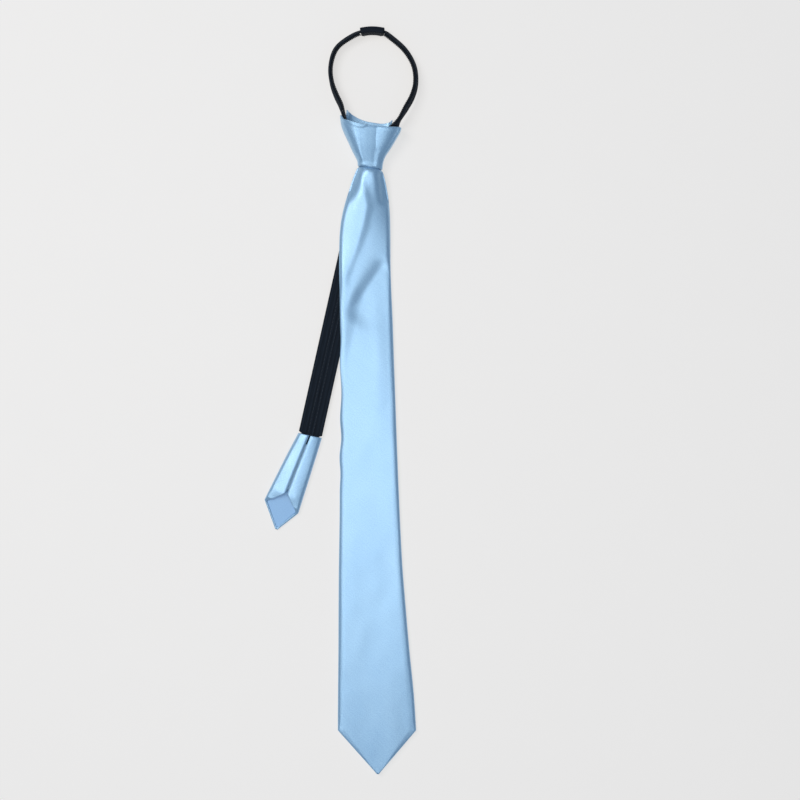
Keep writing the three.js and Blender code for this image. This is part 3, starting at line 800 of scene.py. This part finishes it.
def neck_points(side):
    sign = -1 if side == "left" else 1

    def on_loop(turn, reach, lift):
        return Vector((LOOP_X + sign * math.sin(turn) * reach * LOOP_RADIUS,
                       LOOP_Y + math.cos(turn) * reach * LOOP_RADIUS, STAND + lift))

    points = [on_loop(CLEARANCE / LOOP_RADIUS, 1, TAB_WALL + CLEARANCE),
              on_loop(TAB_LENGTH / 2 / LOOP_RADIUS, 1, TAB_WALL + CLEARANCE)]
    for turn, reach, lift in LOOP_ROWS[side]:
        points.append(on_loop(math.radians(turn), reach, lift * ENTRY_HEIGHT))
    shoulder_z = TAPE_ON_REST + THROAT_RISE + TAPE_CLOTH / 2
    for out, on, lift in ENTRY_ROWS[side]:
        x = KNOT_MOUTH_DRIFT + sign * out * KNOT_WIDTH / 2
        mouth_x = THROAT_X + x * math.cos(KNOT_TILT)
        mouth_y = KNOT_FOOT + KNOT_LENGTH + x * math.sin(KNOT_TILT)
        points.append(Vector((mouth_x, lerp(SLIDER_TOP, mouth_y, on),
                              lerp(shoulder_z, STAND + ENTRY_HEIGHT, lift))))
    shoulder_x = THROAT_X + sign * (SLIDER_WIDTH / 2 + CLEARANCE)
    points.append(Vector((shoulder_x, SLIDER_TOP + CLEARANCE, shoulder_z)))
    return points


def neck_frames(side, step):
    """Middle of the tape, the way to its toothed edge and the way its teeth face, and the distance walked."""
    path, length = rounded_path(neck_points(side), step)
    sign = 1 if side == "left" else -1
    frames = []
    for k, middle in enumerate(path):
        tangent = (path[min(k + 1, len(path) - 1)] - path[max(k - 1, 0)]).normalized()
        run = length * k / (len(path) - 1)
        up = (Vector((0, 0, 1)) - tangent * tangent.z).normalized()
        inward = up.cross(tangent) * sign
        twist = math.pi / 2 * smoothstep(run, length - TWIST_LENGTH[side], length - TWIST_REST)
        lean = lerp(LEAN_AT_TAB, LEAN[side], smoothstep(run, 14, 50))
        lean = lerp(lean, LEAN_AT_KNOT, smoothstep(run, length - 48, length - 34)) * smoothstep(run, 2, 8.5)
        twist = math.hypot(twist, lean * (1 - smoothstep(run, length - 30, length - 20)))
        edge = up * math.cos(twist) + inward * math.sin(twist)
        teeth = inward * math.cos(twist) - up * math.sin(twist)
        frames.append((middle, edge, teeth, run))
    return frames, length


def out_of(frame_at, on_edge, on_teeth):
    middle, edge, teeth, _ = frame_at
    return in_frame(*(middle + edge * on_edge + teeth * on_teeth))


TAPE_RIBS = 5
RIB_HEIGHT = 0.09


def rib(share):
    """Lengthwise ribs of woven tape; share is from -1 to 1 across one half."""
    return RIB_HEIGHT * math.cos(math.pi * TAPE_RIBS * (share + 1)) * smoothstep(1 - abs(share), 0, 0.2)


def make_neck_tape(side):
    frames, _ = neck_frames(side, 0.8)
    shares = spread(-1, 1, 0.07)
    rows = [[out_of(one, share * TAPE_HALF / 2, rib(share)) for share in shares] for one in frames]
    return thicken(grow(f"neck_tape_{side}_woven", rows, outward=False), 0.85, offset=0.0)


neck_tapes = {side: make_neck_tape(side) for side in SIDES}
print("neck tapes", [faces(piece) for piece in neck_tapes.values()], "faces")

# %% [markdown]
# ## Zip teeth
#
# A coil zip's teeth are the turns of a flattened wire coil. Each could be a separate tooth, but the real
# one is a continuous wire, so it is one tube along a flat helix round a filler cord. Where the zip is
# closed, the coils of both halves run half a turn apart and mesh.

# %%
WIRE = 0.34
CORD = 0.6
COIL_TURN = 1.25


def flat_helix(frames, length, start, end, near, far, low, high, phase=0.0):
    """Points of a flat coil beside a tape, from start to end along it."""
    points = []
    steps_per_turn = 14
    turns = (end - start) / COIL_TURN
    for k in range(int(turns * steps_per_turn) + 1):
        run = start + k * COIL_TURN / steps_per_turn
        angle = 2 * math.pi * k / steps_per_turn + phase
        at = clamp(run / length) * (len(frames) - 1)
        i = min(int(at), len(frames) - 2)
        a, b = frames[i], frames[i + 1]
        middle = a[0].lerp(b[0], at - i)
        edge = a[1].lerp(b[1], at - i).normalized()
        teeth = a[2].lerp(b[2], at - i).normalized()
        squash = abs(math.cos(angle)) ** 0.7
        on_edge = lerp(near, far, 0.5 + 0.5 * math.copysign(squash, math.cos(angle)))
        on_teeth = lerp(low, high, 0.5 + 0.5 * math.sin(angle))
        points.append(in_frame(*(middle + edge * on_edge + teeth * on_teeth)))
    return points


def make_neck_coil(side):
    frames, length = neck_frames(side, 0.8)
    start = TAB_LENGTH / 2 + CLEARANCE
    near_cloth = TAPE_CLOTH / 2 + WIRE * 0.9
    path = flat_helix(frames, length, start, length - CLEARANCE, TAPE_HALF / 2 - COIL_WIDTH / 2 + WIRE,
                      TAPE_HALF / 2 - WIRE + 0.1, near_cloth, TAPE_CLOTH / 2 + CLEARANCE + COIL_HEIGHT - WIRE)
    wire = tube(f"coil_{side}", path, WIRE * MM, sides=7)
    on_edge, on_teeth = TAPE_HALF / 2 - COIL_WIDTH / 4, TAPE_CLOTH / 2 + CORD
    middle = [out_of(one, on_edge, on_teeth) for one in frames if start < one[3] < length - CLEARANCE]
    return join(f"neck_coil_{side}_wire", [wire, tube(f"cord_{side}", middle, CORD * MM)])


neck_coils = {side: make_neck_coil(side) for side in SIDES}
print("neck coils", [faces(piece) for piece in neck_coils.values()], "faces")


# %% [markdown]
# ## Tail tape and its closed teeth
#
# Below the knot the zip is closed: two flat halves side by side with their teeth underneath.

# %%
def tail_frames(step=0.9):
    """Middle of the closed zip, the way to its right and its distance from the throat."""
    top = SLIDER_FOOT - CLEARANCE
    foot = -(TAIL_LENGTH + TAIL_TUCK) * math.cos(TAIL_LEAN)
    frames = []
    for y in spread(foot, top, step)[::-1]:
        ahead = Vector((tape_x(y - 0.5) - tape_x(y + 0.5), -1)).normalized()
        frames.append((y, tape_x(y), Vector((-ahead.y, ahead.x)), -y / math.cos(TAIL_LEAN)))
    return frames


def tail_tuck(distance):
    return smoothstep(distance, TAIL_LENGTH - TAIL_TAPER, TAIL_LENGTH - CLEARANCE)


def make_tail_tape(side):
    sign = -1 if side == "left" else 1
    rows = []
    for y, x, right, distance in tail_frames():
        tucked = tail_tuck(distance)
        width = lerp(TAPE_HALF - THROAT_PINCH * throat_share(y), TAIL_TUCK_HALF, tucked)
        height = tape_underside(y) - tucked * (TAPE_ON_REST - CLOTH - CLEARANCE) + TAPE_CLOTH / 2
        row = []
        for share in spread(-1, 1, 0.06):
            out = sign * (0.05 + width * (share + 1) / 2)
            row.append(in_frame(x + out * right.x, y + out * right.y, height + rib(share)))
        rows.append(row)
    return thicken(grow(f"tail_tape_{side}_woven", rows, outward=False), 0.8, offset=0.0)


def make_tail_coil():
    parts = []
    end = TAIL_LENGTH - COIL_STOP
    start = -(SLIDER_FOOT - CLEARANCE)
    up = Vector((0, 0, 1))
    frames = [(Vector((x, y, tape_underside(y) - TAPE_ON_REST)), Vector((right.x, right.y, 0)), up)
              for y, x, right, _ in tail_frames()]
    length = TAIL_LENGTH + TAIL_TUCK - start
    mesh_over = 0.35
    for sign, phase in ((-1, 0.0), (1, math.pi)):
        path = flat_helix(frames, length, 0.4, end - start, sign * (COIL_WIDTH / 2 - WIRE), -sign * mesh_over,
                          WIRE + 0.05, COIL_HEIGHT - WIRE, phase)
        parts.append(tube(f"tail_coil_{sign}", path, WIRE * MM, sides=7))
        cord = [in_frame(*(one[0] + one[1] * sign * COIL_WIDTH / 4 + one[2] * COIL_HEIGHT / 2))
                for one in frames if -one[0].y / math.cos(TAIL_LEAN) < end]
        parts.append(tube(f"tail_cord_{sign}", cord, CORD * MM))
    return join("tail_coil_wire", parts)


tail_tapes = {side: make_tail_tape(side) for side in SIDES}
tail_coil = make_tail_coil()
print("tail", [faces(piece) for piece in tail_tapes.values()], faces(tail_coil), "faces")

# %% [markdown]
# ## Stitches
#
# Thread is small but it tells a sewn thing from a moulded one. Each stitch is a short arched piece of
# thread that dips into the cloth at both ends. Two rows hold the coil along the tail tape.

# %%
THREAD = 0.17
STITCH_PITCH, STITCH_LENGTH = 2.3, 1.7


def stitch(start, end, up, rise=0.16):
    points = []
    for k in range(6):
        share = k / 5
        points.append(start.lerp(end, share) + up * (math.sin(math.pi * share) * rise - 0.1) * MM)
    return tube("stitch", points, THREAD * MM, sides=6)


def make_tail_stitches():
    frames = tail_frames(0.3)
    parts = []
    for offset in (-1.55, 1.55):
        next_at = -2.0
        for y, x, right, distance in frames:
            if distance < next_at or distance > TAIL_LENGTH - TAIL_TAPER:
                continue
            next_at = distance + STITCH_PITCH
            top = tape_underside(y) + TAPE_CLOTH + 0.02
            ends = []
            for yy in (y, y - STITCH_LENGTH * math.cos(TAIL_LEAN)):
                ends.append(in_frame(tape_x(yy) + offset * right.x, yy + offset * right.y, top))
            parts.append(stitch(*ends, Vector((0, 0, 1))))
    return join("tail_tape_stitches", parts)


tail_stitches = make_tail_stitches()
print("tail stitches", faces(tail_stitches), "faces")

# %% [markdown]
# ## Tab at the top of the loop
#
# A folded sleeve of dark cloth holds both tape ends. It is sewn across near both of its ends, which pinches
# it.

# %%
TAB_COLUMNS = 40
TAB_RIM, TAB_STITCH_AT = 0.97, 0.8
TAB_SAG = 0.8


def tab_section():
    """A rounded, tall sleeve section: out, up, as shares."""
    ring = []
    for k in range(TAB_COLUMNS):
        turn = 2 * math.pi * k / TAB_COLUMNS
        ring.append((rounded(math.cos(turn), 0.5), rounded(math.sin(turn), 0.5)))
    return ring


def tab_point(share, out, up, wall):
    pinch = 0.22 * math.exp(-((abs(share) - TAB_STITCH_AT) / 0.06) ** 2)
    flare = 0.4 * smoothstep(abs(share), 0.5, 1.0)
    sag = TAB_SAG * (1 - 0.6 * smoothstep(abs(share), 0.8, 1.0))
    half_out = TAPE_CLOTH / 2 + TAB_PLAY + wall + (0.4 * flare - pinch if wall > 0.3 else 2 * flare)
    half_up = TAPE_HALF / 2 + CLEARANCE + wall
    turn = share * TAB_LENGTH / 2 / LOOP_RADIUS
    reach = LOOP_RADIUS + out * half_out - (sag * (1 - out) / 2 if wall > 0.3 else 0)
    return in_frame(LOOP_X + math.sin(turn) * reach, LOOP_Y + math.cos(turn) * reach,
                    TAB_WALL + CLEARANCE + STAND + up * half_up)


def make_tab():
    path = wall_path(spread(-TAB_RIM, TAB_RIM, 0.03), spread(-TAB_RIM, TAB_RIM, 0.1), 0.06, TAB_WALL, 4)
    section = tab_section()
    rows = [[tab_point(share, out, up, TAB_WALL - depth) for out, up in section] for share, depth in path]
    return weld(grow("neck_tab_cloth", rows, closed=True))


def make_tab_stitches():
    parts = []
    for share in (-TAB_STITCH_AT, TAB_STITCH_AT):
        for face in (-1, 1):
            for up in spread(-0.85, 0.62, 0.3):
                a = tab_point(share, face, up, TAB_WALL)
                b = tab_point(share, face, up + 0.2, TAB_WALL)
                turn = share * TAB_LENGTH / 2 / LOOP_RADIUS
                parts.append(stitch(a, b, Vector((math.sin(turn), math.cos(turn), 0)) * face))
    return join("neck_tab_stitches", parts)


neck_tab = make_tab()
tab_stitches = make_tab_stitches()
print("tab", faces(neck_tab), faces(tab_stitches), "faces")

# %% [markdown]
# ## Satin end of the tail
#
# The same folded section as the front blade, turned over: the flaps and the lining face up. It is a little
# tubular, so its flaps rise to the seam.

# %%
TAIL_BLADE_LENGTH, TAIL_BLADE_WIDTH, TAIL_TOP_WIDTH = 49.0, 23.4, 15.4
TAIL_POINT, TAIL_SPREAD, TAIL_TIP_SHIFT = 15.8, 9.5, 2.6
TAIL_BLADE_LEAN = math.radians(22)
TAIL_CROWN = 1.5
TAIL_POINT_END = 0.93
tail_along = Vector((-math.sin(TAIL_BLADE_LEAN), -math.cos(TAIL_BLADE_LEAN)))
tail_right = Vector((-tail_along.y, tail_along.x))
tail_start = Vector((-math.sin(TAIL_LEAN) * TAIL_LENGTH + THROAT_X, -math.cos(TAIL_LEAN) * TAIL_LENGTH))


def tail_half(distance):
    share = distance / TAIL_BLADE_LENGTH
    if share <= 1:
        return lerp(TAIL_TOP_WIDTH, TAIL_BLADE_WIDTH, share) / 2 + 0.1 * math.sin(math.pi * share)
    return max(TAIL_BLADE_WIDTH / 2 * (1 - (distance - TAIL_BLADE_LENGTH) / TAIL_POINT), TIP_HALF)


def place_on_tail(distance):
    share = min(distance / TAIL_BLADE_LENGTH, 1)
    beyond = max(0.0, distance - TAIL_BLADE_LENGTH)
    lean = lerp(TAIL_LEAN, TAIL_BLADE_LEAN, smoothstep(share, 0, 0.4))
    across = Vector((math.cos(lean), -math.sin(lean)))
    middle = tail_start + tail_along * distance + tail_right * (TAIL_TIP_SHIFT * beyond / TAIL_POINT)
    half = tail_half(distance)

    def place(x, v, relief=True):
        point = middle + across * x
        z = BLADE_THICK - v
        if relief:
            flap = 1 - smoothstep(v, 0, BLADE_THICK * 0.6)
            crown = 1 - smoothstep(distance, TAIL_BLADE_LENGTH - TAIL_SPREAD, TAIL_BLADE_LENGTH)
            dip = math.exp(-((abs(x) - SEAM_GAP / 2) / 0.8) ** 2)
            z += flap * crown * (TAIL_CROWN * (1 - abs(x / half) ** 2.4) - 0.45 * dip)
            z += flap * 0.3 * noise.noise(Vector((x * 0.12, distance * 0.05, 9.4)))
        return in_frame(point.x, point.y, z)

    return place


tail_end = TAIL_BLADE_LENGTH + TAIL_POINT * TAIL_POINT_END
tail_blade = make_folded("tail_blade_satin", spread(0, tail_end, 0.6), tail_half, place_on_tail,
                         TAIL_BLADE_LENGTH, TAIL_BLADE_WIDTH, TAIL_SPREAD, 1, (20, 9, 24))
lining_top = TAIL_BLADE_LENGTH - TAIL_SPREAD - 2 * HEM
tail_lining = make_lining("tail_tipping_lining", spread(lining_top, tail_end, 0.7),
                          tail_half, place_on_tail, (0.15, 0.12, 4.3))
print("tail blade", faces(tail_blade), faces(tail_lining), "faces")


# %% [markdown]
# ## Material graphs
#
# Shader maths could be written node by node. A small class that stands for a socket lets it read as sums.

# %%
class Link:
    """A socket or a number that adds, multiplies and compares by making Math nodes."""

    def __init__(self, graph, socket):
        self.graph = graph
        self.socket = socket

    def math(self, operation, *others, clamp_it=False):
        node = self.graph.tree.nodes.new("ShaderNodeMath")
        node.operation = operation
        node.use_clamp = clamp_it
        for socket, value in zip(node.inputs, (self, *others)):
            self.graph.feed(socket, value)
        return Link(self.graph, node.outputs[0])

    def __add__(self, other):
        return self.math("ADD", other)

    __radd__ = __add__

    def __mul__(self, other):
        return self.math("MULTIPLY", other)

    __rmul__ = __mul__

    def __sub__(self, other):
        return self.math("SUBTRACT", other)

    def __rsub__(self, other):
        return (self * -1).math("ADD", other)


class Graph:
    """A material whose nodes are made by name, with settings and socket values together."""

    def __init__(self, name):
        self.material = bpy.data.materials.new(name)
        self.material.use_nodes = True
        self.tree = self.material.node_tree
        self.shader = self.tree.nodes["Principled BSDF"]

    def feed(self, socket, value):
        if isinstance(value, Link):
            self.tree.links.new(value.socket, socket)
        else:
            socket.default_value = value

    def node(self, kind, settings=None, output=0, **inputs):
        node = self.tree.nodes.new("ShaderNode" + kind)
        for key, value in (settings or {}).items():
            setattr(node, key, value)
        for key, value in inputs.items():
            name = key.replace("_", " ")
            socket = next(s for s in node.inputs if s.name == name and s.enabled)
            self.feed(socket, value)
        return Link(self, node.outputs[output])

    def vector(self, operation, a, b):
        node = self.tree.nodes.new("ShaderNodeVectorMath")
        node.operation = operation
        self.feed(node.inputs[0], a)
        self.feed(node.inputs[1], b)
        return Link(self, node.outputs[0])

    def mix(self, share, a, b):
        node = self.tree.nodes.new("ShaderNodeMix")
        node.data_type = "RGBA"
        colours = [s for s in node.inputs if s.type == "RGBA"]
        self.feed(node.inputs[0], share)
        self.feed(colours[0], a)
        self.feed(colours[1], b)
        return Link(self, next(s for s in node.outputs if s.type == "RGBA"))

    def lay(self):
        """Millimetres across and along the cloth."""
        uv = self.node("UVMap", {"uv_map": "lay"})
        return self.vector("MULTIPLY", uv, (1000, 1000, 1000))

    def split(self, vector):
        node = self.tree.nodes.new("ShaderNodeSeparateXYZ")
        self.feed(node.inputs[0], vector)
        return Link(self, node.outputs[0]), Link(self, node.outputs[1])

    def join(self, x, y, z=0.0):
        return self.node("CombineXYZ", X=x, Y=y, Z=z)

    def noise(self, vector, scale, detail=2.0, roughness=0.5):
        return self.node("TexNoise", None, 0, Vector=vector, Scale=scale, Detail=detail, Roughness=roughness)

    def bump(self, height, strength, distance):
        bump = self.node("Bump", None, 0, Strength=strength, Distance=distance, Height=height)
        self.tree.links.new(bump.socket, self.shader.inputs["Normal"])

    def set(self, **values):
        for key, value in values.items():
            self.feed(self.shader.inputs[key.replace("_", " ")], value)
        return self.material


# %% [markdown]
# ## Satin
#
# Satin's long floats lie side by side, so it is glossy, its highlights take the colour of the yarn, and a
# fine speckle shows where the floats dip under a crossing yarn. The cloth is cut on the bias, so the yarns
# run at 45 degrees. A picture of cloth would be easier but isn't used; waves and noise in millimetres give
# the same look.

# %%
YARN_PITCH = 0.42


def satin(name, light, deep, roughness, metallic, thread_strength):
    g = Graph(name)
    u, v = g.split(g.lay())
    along = (u + v) * 0.7071
    across = (u - v) * 0.7071
    yarn = (across * (2 * math.pi / YARN_PITCH)).math("SINE")
    dip = g.noise(g.join(along * 0.5, across * 1.6), 1.0, 2.0, 0.6)
    slub = g.noise(g.join(along * 0.07, across * 1.1), 1.0, 3.0, 0.55)
    speckle = g.noise(g.join(u, v), 1.5, 3.0, 0.7)
    broad = g.noise(g.join(u * 0.04, v * 0.022), 1.0, 2.0, 0.5)
    tone = (speckle - 0.5) * 2.6 + (slub - 0.5) * 0.7 + (broad - 0.5) * 0.5 + 0.5
    colour = g.mix(tone.math("MULTIPLY", 1.0, clamp_it=True), (*deep, 1), (*light, 1))
    rough = (slub - 0.5) * 0.12 + (speckle - 0.5) * 0.14 + roughness
    g.bump(yarn * 0.2 + dip * 0.7 + slub * 0.8 + speckle * 0.6, thread_strength, 0.0001)
    return g.set(Base_Color=colour, Roughness=rough, Metallic=metallic, Specular_IOR_Level=0.75,
                 Sheen_Weight=0.15, Sheen_Roughness=0.4)


SATIN_LIGHT, SATIN_DEEP = (0.455, 0.69, 0.88), (0.3, 0.52, 0.745)
LINING_LIGHT, LINING_DEEP = (0.38, 0.64, 0.92), (0.3, 0.54, 0.84)
satin_face = satin("satin_face", SATIN_LIGHT, SATIN_DEEP, 0.38, 0.5, 0.3)
lining_cloth = satin("lining_cloth", LINING_LIGHT, LINING_DEEP, 0.5, 0.1, 0.2)

# %% [markdown]
# ## Tape, teeth and slider
#
# The tape is woven polyester: near black, with a fine herringbone and dull ribs. The coil is nylon, a
# little glossier. The tab is plain twill. The slider is coated metal, hidden in the knot.

# %%
def woven_tape(name, light, deep, pitch, roughness):
    g = Graph(name)
    u, v = g.split(g.lay())
    lean = ((u * (2 * math.pi / 2.2)).math("SINE")).math("SIGN") * 1.0
    twill = ((v + u * lean) * (2 * math.pi / pitch)).math("SINE")
    fuzz = g.noise(g.join(u, v), 2.2, 3.0, 0.7)
    warp = g.noise(g.join(u * 2.4, v * 0.08), 1.0, 2.0, 0.5)
    ribs = (u * (2 * math.pi / 2.64)).math("COSINE")
    tone = (warp - 0.5) * 1.3 + (fuzz - 0.5) * 0.8 + twill * 0.12 + ribs * 0.2 + 0.5
    colour = g.mix(tone.math("MULTIPLY", 1.0, clamp_it=True), (*deep, 1), (*light, 1))
    g.bump(twill * 0.5 + fuzz * 0.6 + warp * 0.4, 0.5, 0.0001)
    return g.set(Base_Color=colour, Roughness=(fuzz - 0.5) * 0.2 + roughness, Specular_IOR_Level=0.22)


def solid_finish(name, colour, other, scale, roughness, metallic=0.0):
    g = Graph(name)
    place = g.node("TexCoord", None, 3)
    grain = g.noise(place, scale, 3.0, 0.6)
    g.bump(grain, 0.2, 0.00005)
    return g.set(Base_Color=g.mix(grain, (*colour, 1), (*other, 1)), Metallic=metallic,
                 Roughness=(grain - 0.5) * 0.15 + roughness)


tape_cloth = woven_tape("tape_cloth", (0.014, 0.022, 0.034), (0.003, 0.006, 0.01), 0.9, 0.85)
tab_twill = woven_tape("tab_twill", (0.014, 0.019, 0.028), (0.006, 0.009, 0.014), 0.7, 0.88)
coil_nylon = solid_finish("coil_nylon", (0.004, 0.006, 0.009), (0.01, 0.013, 0.018), 2400, 0.5)
thread_black = solid_finish("thread_black", (0.012, 0.016, 0.022), (0.03, 0.036, 0.046), 3000, 0.6)
slider_coat = solid_finish("slider_coat", (0.012, 0.012, 0.014), (0.03, 0.03, 0.034), 900, 0.35, 0.6)

# %% [markdown]
# ## Dressing the frame
#
# Each piece takes its finish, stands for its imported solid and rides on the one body.

# %%
DRESSED = [
    (knot_wrap, satin_face, "satin", ["knot_wrap"]),
    (knot_back, satin_face, "satin", ["knot_back"]),
    (front_blade, satin_face, "satin", ["front_blade"]),
    (front_lining, lining_cloth, "lining", ["front_tipping"]),
    (neck_tab, tab_twill, "tab_cloth", ["neck_tab"]),
    (tab_stitches, thread_black, "tab_cloth", []),
    (tail_stitches, thread_black, "zip_tape", []),
    (tail_coil, coil_nylon, "zip_teeth", ["tail_coil"]),
    (tail_blade, satin_face, "satin", ["tail_blade"]),
    (tail_lining, lining_cloth, "lining", ["tail_tipping"]),
]
for side in SIDES:
    DRESSED += [
        (neck_tapes[side], tape_cloth, "zip_tape", ["neck_tape_" + side]),
        (neck_coils[side], coil_nylon, "zip_teeth", ["neck_coil_" + side]),
        (tail_tapes[side], tape_cloth, "zip_tape", ["tail_tape_" + side]),
    ]
for piece, material, slot, nodes in DRESSED:
    piece.data.materials.clear()
    piece.data.materials.append(material)
    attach(piece, "root")
    if nodes:
        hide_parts(*nodes)

# A sheet's width goes round the folds and its length runs along the piece. The tapes are narrow woven bands.
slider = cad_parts["zip_slider"]
for own in slider.material_slots:
    own.material = slider_coat
print("dressed", len(DRESSED), "pieces and the slider")

# %% [markdown]
# ## Floor, light and camera
#
# The photograph is taken from straight above on a plain pale ground with hardly a shadow. A wide soft light
# to the upper left gives satin its light and dark sides, and a pale surround fills in the rest.

# %%
FLOOR_SIZE = 6.0
bm = bmesh.new()
bmesh.ops.create_grid(bm, x_segments=1, y_segments=1, size=FLOOR_SIZE / 2)
floor = as_piece("floor", bm)
floor.location.z = -0.0002
paper = Graph("paper")
paper_grain = paper.noise(paper.node("TexCoord", None, 3), 40, 2.0, 0.5)
paper.set(Base_Color=paper.mix(paper_grain, (0.3, 0.3, 0.3, 1), (0.31, 0.31, 0.31, 1)), Roughness=0.95,
          Specular_IOR_Level=0.0, Emission_Color=(0.63, 0.612, 0.59, 1), Emission_Strength=1.0)
floor.data.materials.append(paper.material)


def area_light(name, place, aim, size, power, colour=(1, 1, 1)):
    data = bpy.data.lights.new(name, "AREA")
    data.shape = "RECTANGLE"
    data.size, data.size_y = size
    data.energy = power
    data.color = colour
    lamp = in_scene(name, data)
    lamp.location = place
    lamp.rotation_euler = (Vector(aim) - Vector(place)).to_track_quat("-Z", "Y").to_euler()


area_light("window", (-0.5, 0.36, 1.0), (0, 0, 0), (0.4, 0.6), 4.9, (1, 0.97, 0.94))
area_light("sky", (-0.06, -0.14, 1.3), (0, -0.1, 0), (0.5, 0.9), 4.4)

world = bpy.data.worlds.new("surround")
world.use_nodes = True
world.node_tree.nodes["Background"].inputs["Color"].default_value = (0.45, 0.66, 0.95, 1)
world.node_tree.nodes["Background"].inputs["Strength"].default_value = 0.28
bpy.context.scene.world = world
bpy.context.scene.view_settings.view_transform = "Standard"

PHOTO_SIZE, MM_PER_PIXEL, SENSOR = 800, 0.64, 36.0
THROAT_PIXEL = (369, 167)
CAMERA_HEIGHT = 1000.0
camera_data = bpy.data.cameras.new("camera")
camera_data.sensor_width = SENSOR
camera_data.lens = SENSOR * CAMERA_HEIGHT / (PHOTO_SIZE * MM_PER_PIXEL)
camera = in_scene("camera", camera_data)
camera.location = in_frame((PHOTO_SIZE / 2 - THROAT_PIXEL[0]) * MM_PER_PIXEL,
                           (THROAT_PIXEL[1] - PHOTO_SIZE / 2) * MM_PER_PIXEL, CAMERA_HEIGHT)
bpy.context.scene.camera = camera
print("camera at", tuple(round(x, 4) for x in camera.location), "lens", round(camera_data.lens, 2))
